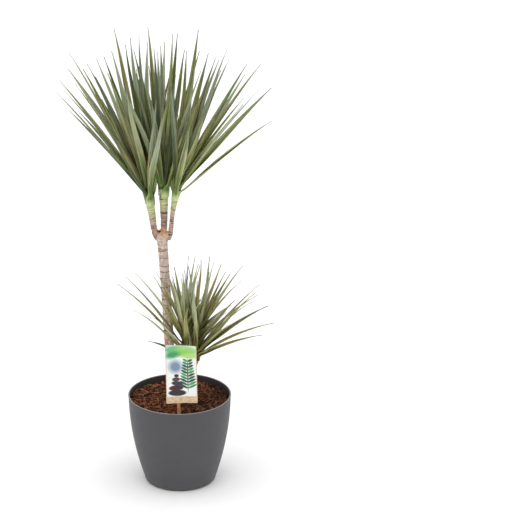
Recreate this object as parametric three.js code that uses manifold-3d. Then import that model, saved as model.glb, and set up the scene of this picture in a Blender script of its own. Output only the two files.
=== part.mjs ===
// A potted dracaena: a tall cane with three leafy shoots and a short cane with two, in a round planter.
// Millimetres, +Z up, +Y away from the viewer. The origin is the middle of the planter's foot.

import * as THREE from 'three';
import { mergeVertices } from 'three/addons/utils/BufferGeometryUtils.js';
import Module from 'manifold-3d';

// ---------------------------------------------------------------- driving dimensions

const GAP = 0.3; // clearance between neighbouring pieces
const SIDES = 36; // facets around the planter and the soil
const TRUNK_SIDES = 12;
const SHOOT_SIDES = 10;

const planter = {
  height: 197,
  footRadius: 68,
  baseRadius: 74.5,
  rimRadius: 109.7,
  lipRadius: 110.5,
  wall: 3,
  floor: 4,
  bulge: 1.93, // how soon the wall swells out above the base
  footRound: 8, // how high the foot's edge is rounded
  lipWidth: 3.4,
  lipRound: 1.5,
  lipDepth: 5, // the inside runs straight for this far below the lip
};

const soilBed = {
  level: 183, // height at the planter's wall
  mound: 4, // how much higher the middle is
  crestShare: 0.4, // the level top's radius, as a share of the whole
  shoulderShare: 0.72, // the radius where it starts to fall off
  shoulderDrop: 1.5,
  edgeWidth: 3,
  edgeDrop: 1,
  rootDepth: 60, // how far a cane reaches into it
};

const label = {
  left: -28,
  right: 38,
  foot: 212,
  printFoot: 227.5,
  top: 341,
  front: -85,
  bow: 3, // the edges stand this far before the middle
  twist: 13, // how much nearer the right top corner stands than the left one
  roll: -0.8, // degrees, the top stands to the left
  lean: 4, // degrees, the top leans back
  boardThickness: 1.2,
  cardThickness: 0.6,
  cardInset: 1.5,
  columns: 8,
  stakeWidth: 7,
  stakeThickness: 2.5,
  stakeX: -2.3,
  stakeFoot: 118,
  stakeTop: 285,
  stakeSetback: 1, // clear of the twisted board
};

const blade = {
  neck: 0.5, // width above the sheath, as a share of the widest
  widest: 0.35, // where along the leaf it is widest
  taper: 1.7, // how late it narrows to the tip
  keel: 0.17, // depth of the fold, as a share of the width
  stations: [0, 0.1, 0.22, 0.38, 0.6, 0.82],
  flare: [24, 33], // degrees, the least and the most at which a leaf leaves its shoot
  uprightArch: 0.3, // how much an upright leaf arches, as a share of one that leans out by a radian
  startPull: 0.13, // how far the curve holds its first direction, as a share of the leaf's length
  endPull: 0.3,
};

const sheath = {
  pitch: 6.5, // height of shoot taken up by one tier of leaves
  wall: 1.3,
  sides: 8,
};

const bud = {
  radius: 3.8,
  shoulder: 8, // height at which it starts to narrow
  tipRadius: 1,
  height: 24,
  leafFoot: 4, // height at which its leaves start
};

const GOLDEN_ANGLE = Math.PI * (3 - Math.sqrt(5));
const YOUTH_STEPS = 3; // the leaves that fill a head come in this many lengths
const YOUTH_SHARE = 0.13; // each is this share of the full length shorter than the one before

// The plant is looked at from here: front, and a little from above.
const viewPoint = new THREE.Vector3(0, -5919, 2785);

// ---------------------------------------------------------------- canes

// Every cane and shoot is a list of points up its middle, each with the radius there.
const tallTrunk = [
  [-14, 12, soilBed.level - soilBed.rootDepth, 11],
  [-15.5, 12, 190, 11],
  [-20, 12, 290, 10.4],
  [-25, 12, 390, 10.2],
  [-30.5, 12, 495, 10.3],
  [-33, 12, 536, 10.8],
  [-33.3, 12, 549, 12.8],
  [-33, 13, 559, 14.5],
];

const tallShoots = {
  left: [
    [-42, 11, 548, 6.6],
    [-47.5, 10, 560, 6.8],
    [-51, 10, 575, 6.6],
    [-53.5, 10, 598, 6.9],
    [-57, 10, 620, 7.4],
    [-69, 10, 694, 3.4],
  ],
  middle: [
    [-30, 20, 545, 7],
    [-29.5, 22, 563, 6.8],
    [-29, 21, 590, 7.2],
    [-29.2, 20, 637, 8.1],
    [-29, 18, 711, 3.4],
  ],
  right: [
    [-21, 11, 547, 5.4],
    [-16, 10, 560, 5.2],
    [-14, 10, 578, 4.7],
    [-11.5, 10, 603, 4.8],
    [-7, 9, 632, 5.7],
    [4, 7, 706, 3.2],
  ],
};

const shortTrunk = [
  [21, -8, soilBed.level - soilBed.rootDepth, 11.5],
  [21, -8, 190, 11.5],
  [21, -8, 228, 11],
  [21, -8, 240, 13.5],
  [21, -8, 248, 14],
];

const shortShoots = {
  left: [
    [15, -10, 236, 6.5],
    [12, -12, 252, 6.8],
    [12.5, -12, 268, 6.8],
    [13, -12, 282, 6.8],
    [12, -13, 342, 3.2],
  ],
  right: [
    [26, -8, 234, 6.5],
    [29.5, -8, 248, 6.6],
    [33, -8, 262, 6.6],
    [38.5, -8, 275, 6.6],
    [41, -9, 334, 3.2],
  ],
};

// ---------------------------------------------------------------- leaves

// A leaf tip is [x, z, y]: x and z are where it shows against the upright plane through the planter's
// axis, looked at from the view point, and y is its real depth before (-) or behind (+) that plane.
// fill adds the leaves that stand among them: lean and spread are degrees from upright, to the right
// and to the back.
const heads = {
  crown_left: {
    shoot: tallShoots.left,
    tiers: 10,
    leavesPerTier: 3,
    width: 13,
    arch: 6,
    tips: [
      [-249, 878, -70], [-225, 840, -150], [-242, 904, 100], [-222, 966, 0], [-210, 897, -130],
      [-193, 929, 170], [-184, 939, -70], [-142, 919, -140], [-127, 1014, 60], [-104, 980, -90],
      [-94, 995, 130], [-76, 999, -40], [-104, 885, -190], [-42, 862, -225], [-59, 985, 140],
      [-8, 897, -193], [-13, 920, 154], [-31, 818, -211],
    ],
    fill: { count: 18, lean: [-20, 3], spread: [20, 45], length: 303 },
  },
  crown_middle: {
    shoot: tallShoots.middle,
    tiers: 10,
    leavesPerTier: 3,
    width: 13,
    arch: 5,
    tips: [
      [-58, 1018, 20], [-46, 971, -90], [-24, 986, 170], [-7, 1003, -60], [3, 1003, 90], [7, 906, -180],
      [51, 924, -130], [62, 893, -170], [48, 965, 130], [-115, 896, -163], [-78, 933, 178],
    ],
    fill: { count: 23, lean: [-4, 0], spread: [14, 43], length: 285 },
  },
  crown_right: {
    shoot: tallShoots.right,
    tiers: 10,
    leavesPerTier: 3,
    width: 12.5,
    arch: 6,
    tips: [
      [46, 1011, 40], [81, 949, -60], [88, 946, 110], [105, 968, 0], [92, 924, -130], [146, 936, 70],
      [142, 914, 180], [175, 936, -30], [171, 880, -120], [197, 884, 40], [144, 856, -170],
      [196, 811, -90], [-13, 905, -193], [-10, 925, 168], [27, 805, -206],
    ],
    fill: { count: 20, lean: [18, -2], spread: [21, 41], length: 285 },
  },
  low_left: {
    shoot: shortShoots.left,
    tiers: 8,
    leavesPerTier: 2,
    width: 9.5,
    arch: 10,
    tips: [
      [-130, 451, -100], [-113, 468, -60], [-93, 478, -130], [-53, 469, -160], [-48, 477, -100],
      [-9, 490, -90], [6, 463, -130], [-14, 459, -150], [10, 453, 130], [22, 514, -30], [36, 514, 60],
      [-97, 391, -120], [-53, 373, -150], [-67, 319, -50], [20, 400, -190], [20, 468, -70],
      [38, 478, 69],
    ],
    fill: { count: 13, lean: [5, 12], spread: [25, 49], length: 180 },
  },
  low_right: {
    shoot: shortShoots.right,
    tiers: 8,
    leavesPerTier: 2,
    width: 9.5,
    arch: 10,
    tips: [
      [48, 505, -40], [67, 512, 50], [76, 502, -90], [91, 495, 90], [101, 478, -60], [137, 490, -10],
      [134, 456, -130], [122, 414, -170], [171, 446, 30], [163, 428, 110], [168, 423, -60],
      [156, 407, -120], [190, 398, -40], [202, 358, -90], [179, 331, -30], [121, 361, -150],
      [30, 442, -170], [33, 412, -185], [-1, 442, -82], [20, 432, 74],
    ],
    fill: { count: 13, lean: [18, 7], spread: [30, 50], length: 177 },
  },
};

// ---------------------------------------------------------------- finishes

const finishes = {
  pot: { color: 0x58585b, roughness: 0.55, metalness: 0 },
  soil: { color: 0x4b2f21, roughness: 1, metalness: 0 },
  cane: { color: 0xa8968a, roughness: 0.9, metalness: 0 },
  leaf: { color: 0x6f7d4e, roughness: 0.5, metalness: 0 },
  lowLeaf: { color: 0x5d5f35, roughness: 0.5, metalness: 0 },
  card: { color: 0xd6e8c4, roughness: 0.4, metalness: 0 },
  kraft: { color: 0xc3a583, roughness: 0.9, metalness: 0 },
  stake: { color: 0x6b4630, roughness: 0.8, metalness: 0 },
};

// ---------------------------------------------------------------- solids

const wasm = await Module();
wasm.setup();

/** Merges a closed geometry's shared vertices and drops faces with no area. */
function welded(geometry) {
  geometry.deleteAttribute('normal');
  geometry.deleteAttribute('uv');
  const merged = mergeVertices(geometry, 1e-4);
  const corners = Array.from(merged.index.array);
  const kept = [];
  for (let i = 0; i < corners.length; i += 3) {
    const [a, b, c] = corners.slice(i, i + 3);
    if (a !== b && b !== c && c !== a) kept.push(a, b, c);
  }
  merged.setIndex(kept);
  return merged;
}

function solidOf(geometry) {
  const closed = welded(geometry);
  return new wasm.Manifold(new wasm.Mesh({
    numProp: 3,
    vertProperties: new Float32Array(closed.attributes.position.array),
    triVerts: new Uint32Array(closed.index.array),
  }));
}

function geometryOf(solid) {
  const mesh = solid.getMesh();
  const geometry = new THREE.BufferGeometry();
  geometry.setAttribute('position', new THREE.BufferAttribute(new Float32Array(mesh.vertProperties), 3));
  geometry.setIndex(new THREE.BufferAttribute(new Uint32Array(mesh.triVerts), 1));
  return geometry;
}

function joined(solids) {
  return solids.reduce((whole, solid) => whole.add(solid));
}

/** A solid turned about the Z axis from [radius, height] points that start and end on the axis. */
function turned(profile, sides) {
  const points = profile.map(([radius, height]) => new THREE.Vector2(radius, height));
  return new THREE.LatheGeometry(points, sides).rotateX(Math.PI / 2);
}

/** A closed skin over rings of equally many points. A ring of one point is a sharp end. */
function lofted(rings) {
  const positions = rings.flat().flatMap((point) => point.toArray());
  const starts = rings.map((ring, i) => rings.slice(0, i).flat().length);
  const corners = [];
  for (let i = 0; i + 1 < rings.length; i += 1) {
    const count = Math.max(rings[i].length, rings[i + 1].length);
    for (let k = 0; k < count; k += 1) {
      const next = (k + 1) % count;
      const [low, high] = [starts[i], starts[i + 1]];
      if (rings[i + 1].length === 1) {
        corners.push(low + k, low + next, high);
      } else {
        corners.push(low + k, low + next, high + next, low + k, high + next, high + k);
      }
    }
  }
  for (let k = 1; k + 1 < rings[0].length; k += 1) {
    corners.push(0, k + 1, k);
  }
  const last = starts[rings.length - 1];
  for (let k = 1; k + 1 < rings[rings.length - 1].length; k += 1) {
    corners.push(last, last + k, last + k + 1);
  }
  const geometry = new THREE.BufferGeometry();
  geometry.setAttribute('position', new THREE.Float32BufferAttribute(positions, 3));
  geometry.setIndex(corners);
  return geometry;
}

/** A round stem with a ring at each [x, y, z, radius] point, grown by extra all round. */
function stem(points, sides, extra = 0) {
  const centers = points.map(([x, y, z]) => new THREE.Vector3(x, y, z));
  const rings = centers.map((center, i) => {
    const before = centers[Math.max(i - 1, 0)];
    const after = centers[Math.min(i + 1, centers.length - 1)];
    const along = after.clone().sub(before).normalize();
    const across = new THREE.Vector3(1, 0, 0).projectOnPlane(along).normalize();
    const back = new THREE.Vector3().crossVectors(along, across);
    const radius = points[i][3] + extra;
    if (i === 0) center.addScaledVector(along, -extra);
    return Array.from({ length: sides }, (_, k) => {
      const turn = (2 * Math.PI * k) / sides;
      return center.clone()
        .addScaledVector(across, radius * Math.cos(turn))
        .addScaledVector(back, radius * Math.sin(turn));
    });
  });
  return solidOf(lofted(rings));
}

// ---------------------------------------------------------------- planter and soil

/** The levels at which the planter's wall and the soil against it have their rings. */
const WALL_HEIGHTS = [25, 55, 90, 130, 165];

/** The turns round the foot's edge at which its rounding has a ring. */
const FOOT_TURNS = [30, 60, 90].map(THREE.MathUtils.degToRad);

/** The planter's outer radius at a height. */
function wallRadius(height) {
  const rise = 1 - (1 - height / planter.height) ** planter.bulge;
  return planter.baseRadius + (planter.rimRadius - planter.baseRadius) * rise;
}

function planterShape() {
  const { height, lipRadius, lipWidth, lipRound, footRadius, footRound, floor, wall, lipDepth } = planter;
  const footReach = wallRadius(footRound) - footRadius;
  const outerHeights = [...WALL_HEIGHTS, height - 3 * wall];
  const innerHeights = [height - lipDepth, soilBed.level, ...WALL_HEIGHTS.toReversed(), floor];
  const lipFlat = lipRound / 2;
  return turned([
    [0, 0],
    [footRadius, 0],
    ...FOOT_TURNS.map((turn) => [footRadius + footReach * Math.sin(turn), footRound * (1 - Math.cos(turn))]),
    ...outerHeights.map((level) => [wallRadius(level), level]),
    [lipRadius, height - lipRound],
    [lipRadius - lipFlat, height],
    [lipRadius - lipWidth + lipFlat, height],
    [lipRadius - lipWidth, height - lipRound],
    ...innerHeights.map((level) => [wallRadius(level) - wall, level]),
    [0, floor],
  ], SIDES);
}

/** The soil bed, before the canes and the stake are cut out of it. */
function soilShape() {
  const { level, mound, edgeWidth, edgeDrop, shoulderShare, shoulderDrop, crestShare } = soilBed;
  const heights = [planter.floor + GAP, ...WALL_HEIGHTS, level - edgeDrop];
  const edge = wallRadius(level) - planter.wall - GAP;
  const crest = level + mound;
  return turned([
    [0, heights[0]],
    ...heights.map((height) => [wallRadius(height) - planter.wall - GAP, height]),
    [edge - edgeWidth, level],
    [edge * shoulderShare, crest - shoulderDrop],
    [edge * crestShare, crest],
    [0, crest],
  ], SIDES);
}

// ---------------------------------------------------------------- label

/** A bowed sheet of the label, from one depth to another before its middle plane. */
function labelSheet(left, right, foot, top, front, back) {
  const middle = (left + right) / 2;
  const reach = (label.right - label.left) / 2;
  const rings = [];
  for (let i = 0; i <= label.columns; i += 1) {
    const x = left + ((right - left) * i) / label.columns;
    const aside = (x - middle) / reach;
    rings.push([[foot, front], [foot, back], [top, back], [top, front]].map(([height, depth]) => {
      const rise = (height - label.foot) / (label.top - label.foot);
      return new THREE.Vector3(x, depth - label.bow * aside ** 2 - (label.twist / 2) * aside * rise, height);
    }));
  }
  return lofted(rings);
}

/** Leans and rolls a piece of the label about the foot of the board. */
function placed(geometry) {
  const pivot = new THREE.Vector3((label.left + label.right) / 2, label.front, label.foot);
  return geometry
    .translate(-pivot.x, -pivot.y, -pivot.z)
    .rotateY(THREE.MathUtils.degToRad(label.roll))
    .rotateX(THREE.MathUtils.degToRad(-label.lean))
    .translate(pivot.x, pivot.y, pivot.z);
}

function stakeShape(extra = 0) {
  const halfWidth = label.stakeWidth / 2 + extra;
  const front = label.boardThickness + label.stakeSetback - extra;
  const height = label.stakeTop - label.stakeFoot + extra;
  const depth = label.stakeThickness + 2 * extra;
  const stake = new THREE.BoxGeometry(2 * halfWidth, depth, height);
  stake.translate(label.stakeX, label.front + front + depth / 2, label.stakeFoot - extra + height / 2);
  return placed(stake);
}

// ---------------------------------------------------------------- leaf shapes

/** The real place of a tip that is listed by where it shows. */
function tipPlace([seenX, seenZ, depth]) {
  const seen = new THREE.Vector3(seenX, 0, seenZ);
  return viewPoint.clone().lerp(seen, (depth - viewPoint.y) / -viewPoint.y);
}

/** Tips spread evenly over a head by the golden angle. */
function fillTips(head, start) {
  const { count, lean, spread, length } = head.fill;
  return Array.from({ length: count }, (_, i) => {
    const reach = Math.sqrt((i + 0.5) / count);
    const leans = [Math.cos(i * GOLDEN_ANGLE), Math.sin(i * GOLDEN_ANGLE)]
      .map((part, k) => THREE.MathUtils.degToRad(lean[k] + spread[k] * reach * part));
    const toTip = new THREE.Vector3(Math.tan(leans[0]), Math.tan(leans[1]), 1).normalize();
    const youth = YOUTH_SHARE * (i % YOUTH_STEPS);
    return start.clone().addScaledVector(toTip, length * (1 - youth));
  });
}

/** The direction that lies an angle away from along, on the side of outward. */
function leaning(along, outward, angle) {
  return along.clone().multiplyScalar(Math.cos(angle)).addScaledVector(outward, Math.sin(angle));
}

/** One leaf: a tapering folded blade with its keel underneath, from a point in the sheath's wall. */
function leafShape(axisPoint, axis, wallMiddle, tip, head) {
  const outward = tip.clone().sub(axisPoint).projectOnPlane(axis).normalize();
  const side = new THREE.Vector3().crossVectors(axis, outward);
  const base = axisPoint.clone().addScaledVector(outward, wallMiddle);
  const chord = tip.clone().sub(base);
  const length = chord.length();
  const lean = chord.angleTo(axis);
  const arch = THREE.MathUtils.degToRad(head.arch) * (blade.uprightArch + lean);
  const startLean = THREE.MathUtils.clamp(lean - arch, ...blade.flare.map(THREE.MathUtils.degToRad));
  const spine = new THREE.CubicBezierCurve3(
    base,
    base.clone().addScaledVector(leaning(axis, outward, startLean), length * blade.startPull),
    tip.clone().addScaledVector(leaning(axis, outward, lean + arch), -length * blade.endPull),
    tip,
  );
  const rings = blade.stations.map((t) => {
    const center = spine.getPoint(t);
    const keelWay = new THREE.Vector3().crossVectors(side, spine.getTangent(t));
    const half = (head.width * bladeWidth(t)) / 2;
    return [
      center.clone().addScaledVector(side, half),
      center.clone().addScaledVector(side, -half),
      center.clone().addScaledVector(keelWay, head.width * bladeWidth(t) * blade.keel),
    ];
  });
  return solidOf(lofted([...rings, [tip]]));
}

/** A blade's width along its length, as a share of the widest. */
function bladeWidth(t) {
  if (t < blade.widest) {
    return blade.neck + (1 - blade.neck) * THREE.MathUtils.smoothstep(t, 0, blade.widest);
  }
  return 1 - ((t - blade.widest) / (1 - blade.widest)) ** blade.taper;
}

/** The shoot's middle, direction and radius a way up its leafy end, which is its last stretch. */
function shootAt(shoot, way) {
  const [[lowX, lowY, lowZ, lowRadius], [topX, topY, topZ, topRadius]] = shoot.slice(-2);
  const low = new THREE.Vector3(lowX, lowY, lowZ);
  const rise = new THREE.Vector3(topX, topY, topZ).sub(low);
  const share = way / rise.length();
  return {
    point: low.addScaledVector(rise, share),
    axis: rise.clone().normalize(),
    radius: lowRadius + (topRadius - lowRadius) * share,
    reach: rise.length(),
  };
}

/** Moves a piece made about the Z axis onto a shoot. */
function seated(geometry, { point, axis }) {
  const turn = new THREE.Quaternion().setFromUnitVectors(new THREE.Vector3(0, 0, 1), axis);
  return geometry.applyQuaternion(turn).translate(point.x, point.y, point.z);
}

/** The radius inside a sheath that clears the shoot between the corners of both. */
function sheathInner(radius) {
  return (radius + GAP) / Math.cos(Math.PI / sheath.sides);
}

/** The ring of joined leaf feet round the shoot. */
function sheathShape(place) {
  const inner = sheathInner(place.radius);
  const height = sheath.pitch - 2 * GAP;
  const ring = turned([
    [inner, 0],
    [inner + sheath.wall, 0],
    [inner + sheath.wall, height],
    [inner, height],
    [inner, 0],
  ], sheath.sides);
  return solidOf(seated(ring, place));
}

/** The tiers of leaves of a head from the lowest up, and its bud, as [name, solid]. */
function headPieces(name, head) {
  const { reach, axis } = shootAt(head.shoot, 0);
  const middle = shootAt(head.shoot, reach / 2).point;
  const lean = (tip) => tip.clone().sub(middle).angleTo(axis);
  const tips = [...head.tips.map(tipPlace), ...fillTips(head, middle)];
  tips.sort((a, b) => lean(b) - lean(a));
  const pieces = [];
  for (let i = 0; i < head.tiers; i += 1) {
    const place = shootAt(head.shoot, i * sheath.pitch);
    const foot = place.point.clone().addScaledVector(axis, sheath.pitch / 2);
    const wallMiddle = sheathInner(place.radius) + sheath.wall / 2;
    const tierTips = tips.splice(0, head.leavesPerTier);
    const leaves = tierTips.map((tip) => leafShape(foot, axis, wallMiddle, tip, head));
    pieces.push([`${name}_leaves_${i + 1}`, joined([sheathShape(place), ...leaves])]);
  }
  const end = shootAt(head.shoot, reach + GAP);
  const cone = turned([
    [0, 0],
    [bud.radius, 0],
    [bud.radius, bud.shoulder],
    [bud.tipRadius, bud.height],
    [0, bud.height],
  ], sheath.sides);
  const foot = end.point.clone().addScaledVector(axis, bud.leafFoot);
  const leaves = tips.map((tip) => leafShape(foot, axis, bud.radius / 2, tip, head));
  pieces.push([`${name}_bud`, joined([solidOf(seated(cone, end)), ...leaves])]);
  return pieces;
}

// ---------------------------------------------------------------- the plant

const plant = new THREE.Group();

function addPiece(name, geometry, finish) {
  const piece = new THREE.Mesh(geometry, new THREE.MeshStandardMaterial(finish));
  piece.name = name;
  plant.add(piece);
}

const caneSolid = (trunk, shoots) => joined([
  stem(trunk, TRUNK_SIDES),
  ...Object.values(shoots).map((shoot) => stem(shoot, SHOOT_SIDES)),
]);

addPiece('pot', geometryOf(solidOf(planterShape())), finishes.pot);

const soil = solidOf(soilShape())
  .subtract(stem(tallTrunk, TRUNK_SIDES, GAP))
  .subtract(stem(shortTrunk, TRUNK_SIDES, GAP))
  .subtract(solidOf(stakeShape(GAP)));
addPiece('soil', geometryOf(soil), finishes.soil);

addPiece('tall_cane', geometryOf(caneSolid(tallTrunk, tallShoots)), finishes.cane);
addPiece('short_cane', geometryOf(caneSolid(shortTrunk, shortShoots)), finishes.cane);

const board = labelSheet(
  label.left,
  label.right,
  label.foot,
  label.top,
  label.front,
  label.front + label.boardThickness,
);
const cardBack = label.front - GAP;
const card = labelSheet(
  label.left + label.cardInset,
  label.right - label.cardInset,
  label.printFoot,
  label.top,
  cardBack - label.cardThickness,
  cardBack,
);
addPiece('label_back', geometryOf(solidOf(placed(board))), finishes.kraft);
addPiece('label_card', geometryOf(solidOf(placed(card))), finishes.card);
addPiece('label_stake', geometryOf(solidOf(stakeShape())), finishes.stake);

for (const [headName, head] of Object.entries(heads)) {
  const finish = headName.startsWith('low') ? finishes.lowLeaf : finishes.leaf;
  for (const [name, solid] of headPieces(headName, head)) {
    addPiece(name, geometryOf(solid), finish);
  }
}

export default plant;
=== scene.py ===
import logging
import math
from collections.abc import Callable
from dataclasses import dataclass, field
from enum import Enum
from functools import reduce
from itertools import product

import bpy
import numpy as np
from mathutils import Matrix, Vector

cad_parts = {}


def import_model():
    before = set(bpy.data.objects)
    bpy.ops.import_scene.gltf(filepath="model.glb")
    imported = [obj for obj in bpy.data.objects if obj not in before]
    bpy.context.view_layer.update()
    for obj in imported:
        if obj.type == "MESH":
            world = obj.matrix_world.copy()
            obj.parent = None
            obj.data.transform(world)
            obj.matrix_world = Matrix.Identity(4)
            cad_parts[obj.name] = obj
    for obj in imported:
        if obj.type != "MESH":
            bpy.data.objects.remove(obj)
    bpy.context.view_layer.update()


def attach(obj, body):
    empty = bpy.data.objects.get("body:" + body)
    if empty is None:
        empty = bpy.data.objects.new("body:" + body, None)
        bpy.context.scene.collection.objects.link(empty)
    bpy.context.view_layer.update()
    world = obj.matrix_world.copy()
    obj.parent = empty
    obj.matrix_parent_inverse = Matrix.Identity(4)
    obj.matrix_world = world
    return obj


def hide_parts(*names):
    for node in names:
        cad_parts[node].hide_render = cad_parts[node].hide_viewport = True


# A potted dracaena: a tall cane with three heads of leaves and a short cane with two, in a round planter.
# Sizes are millimetres, as on the part's drawing, and a mesh is scaled to metres when it is made.
# +X is to the right and +Y away from the label's side. The origin is the middle of the planter's foot.

LOG = logging.getLogger("dracaena")
MM = 0.001
FULL_TURN = 2 * math.pi
GOLDEN_ANGLE = math.pi * (3 - math.sqrt(5))
VIEW_POINT = np.array([0.0, -5919.0, 2785.0])  # where the listed leaf tips are seen from
HASH_FACTORS = (73856093, 19349663, 83492791, 1274126177)
HASH_STIR = 1103515245

Random = np.random.Generator
Layers = tuple[tuple[float, float, int], ...]  # the height, the size and the seed of each layer of lumps
Faces = list[tuple[int, ...]]
Shape = Callable[[Random, np.ndarray], tuple[np.ndarray, Faces]]
Socket = bpy.types.NodeSocket

# What a shader's input takes: a number, a colour as six hexadecimal digits, a vector or a node's output.
Given = float | str | tuple[float, ...] | Socket


class Slot(Enum):
    """The record's material slots."""

    PLANTER = "planter"
    SOIL = "soil"
    BARK = "bark"
    CROWN_LEAF = "crown_leaf"
    LOW_LEAF = "low_leaf"
    CARD = "label_card"
    BOARD = "label_board"
    STAKE = "label_stake"


# ---------------------------------------------------------------- small tools


def shade(code: str) -> tuple[float, ...]:
    """Turns a colour as seen on a screen into the linear colour that a shader takes.

    Args:
        code: Six hexadecimal digits, red first.

    Returns:
        Red, green, blue and an alpha of 1.
    """
    parts = [int(code[i:i + 2], 16) / 255 for i in (0, 2, 4)]
    linear = [part / 12.92 if part <= 0.04045 else ((part + 0.055) / 1.055) ** 2.4 for part in parts]
    return (*linear, 1.0)


def eased(values: np.ndarray, low: float, high: float) -> np.ndarray:
    """Rises smoothly from 0 at low to 1 at high."""
    share = np.clip((values - low) / (high - low), 0, 1)
    return share * share * (3 - 2 * share)


def bell(values: np.ndarray, width: float | np.ndarray) -> np.ndarray:
    """Falls smoothly from 1 where a value is 0 to nearly 0 at twice the width."""
    return np.exp(-(values / width) ** 2)


def unit(vectors: np.ndarray) -> np.ndarray:
    """Scales vectors to a length of 1."""
    return vectors / np.linalg.norm(vectors, axis=-1, keepdims=True)


def lumps(points: np.ndarray, size: float, seed: int) -> np.ndarray:
    """Gives smooth random values from -1 to 1 that depend only on place.

    Args:
        points: Places, one row each.
        size: How far apart the lumps lie.
        seed: Picks one field of lumps.

    Returns:
        One value for each point.
    """
    cells = points / size
    low = np.floor(cells).astype(np.int64)
    part = cells - low
    part = part * part * (3 - 2 * part)
    total = np.zeros(len(points))
    for corner in product((0, 1), repeat=3):
        keys = np.column_stack([low + corner, np.full(len(points), seed)]) * HASH_FACTORS
        mixed = np.bitwise_xor.reduce(keys, axis=1)
        mixed = (mixed ^ (mixed >> 13)) * HASH_STIR
        value = ((mixed >> 8) & 0xFFFF) / 32767.5 - 1
        weight = np.where(np.array(corner) == 1, part, 1 - part).prod(axis=1)
        total += weight * value
    return total


def uneven(points: np.ndarray, layers: Layers) -> np.ndarray:
    """Adds up layers of lumps."""
    return sum(height * lumps(points, size, seed) for height, size, seed in layers)


def circle(sides: int) -> np.ndarray:
    """Gives angles spread evenly over a full turn."""
    return np.arange(sides) * FULL_TURN / sides


def level_ring(radius: float, height: float, sides: int) -> np.ndarray:
    """Gives points on a level circle about the upright axis."""
    turns = circle(sides)
    return np.column_stack([radius * np.cos(turns), radius * np.sin(turns), np.full(sides, height)])


def distances(line: np.ndarray) -> np.ndarray:
    """Gives the way along a line to each of its points."""
    return np.concatenate([[0], np.cumsum(np.linalg.norm(np.diff(line, axis=0), axis=1))])


def resampled(rows: np.ndarray, ways: np.ndarray, wanted: np.ndarray) -> np.ndarray:
    """Reads rows of numbers, known at some ways along a line, at the wanted ways."""
    return np.column_stack([np.interp(wanted, ways, column) for column in rows.T])


def softened(rows: np.ndarray, times: int) -> np.ndarray:
    """Rounds the bends of a line and leaves its two ends in place.

    Args:
        rows: The line's points, one row each.
        times: How often each point moves towards its neighbours.

    Returns:
        The rounded line's points.
    """
    made = rows.copy()
    for _ in range(times):
        made[1:-1] = (made[:-2] + made[1:-1] * 2 + made[2:]) / 4
    return made


def tilted(x: float, y: float, z: float) -> np.ndarray:
    """Gives a turn about the three axes.

    Args:
        x: The angle about the x axis, in radians.
        y: The angle about the y axis.
        z: The angle about the z axis.

    Returns:
        A matrix that rows of points are multiplied by.
    """
    cx, sx, cy, sy, cz, sz = (way(angle) for angle in (x, y, z) for way in (math.cos, math.sin))
    about_x = np.array([[1, 0, 0], [0, cx, sx], [0, -sx, cx]])
    about_y = np.array([[cy, 0, -sy], [0, 1, 0], [sy, 0, cy]])
    about_z = np.array([[cz, sz, 0], [-sz, cz, 0], [0, 0, 1]])
    return about_x @ about_y @ about_z


def tube_rings(line: np.ndarray, radii: np.ndarray, turns: np.ndarray) -> np.ndarray:
    """Gives a ring of points round each point of a line.

    Args:
        line: The points up the middle.
        radii: The radius at each.
        turns: The angles of the points round a ring.

    Returns:
        Rings that turn right-handed about the line.
    """
    along = unit(np.gradient(line, axis=0))
    guide = np.array([1.0, 0.0, 0.0]) if abs(along[0][0]) < 0.8 else np.array([0.0, 1.0, 0.0])
    across = []
    for way in along:
        guide = unit(guide - way * (guide @ way))
        across.append(guide)
    across = np.array(across)
    back = np.cross(along, across)
    spokes = across[:, None] * np.cos(turns)[None, :, None] + back[:, None] * np.sin(turns)[None, :, None]
    return line[:, None] + spokes * radii[:, None, None]


def loft_faces(number: int, around: int) -> Faces:
    """Lists the faces of a closed skin over rings of an even number of points.

    Args:
        number: How many rings there are.
        around: How many points each has.

    Returns:
        Quads from ring to ring, in order, then the strips that close the first and the last ring.
    """
    faces: Faces = []
    for i in range(number - 1):
        low, high = i * around, (i + 1) * around
        for j in range(around):
            after = (j + 1) % around
            faces.append((low + j, low + after, high + after, high + j))
    last = (number - 1) * around
    for i in range(around // 2):
        strip = list(dict.fromkeys((i, i + 1, around - i - 1, (around - i) % around)))
        faces.append(tuple(reversed(strip)))
        faces.append(tuple(last + k for k in strip))
    return faces


def linked(name: str, data: bpy.types.ID) -> bpy.types.Object:
    """Makes an object in the scene.

    Args:
        name: The object's name.
        data: Its mesh, light or camera.

    Returns:
        The object.
    """
    made = bpy.data.objects.new(name, data)
    bpy.context.scene.collection.objects.link(made)
    return made


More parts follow.
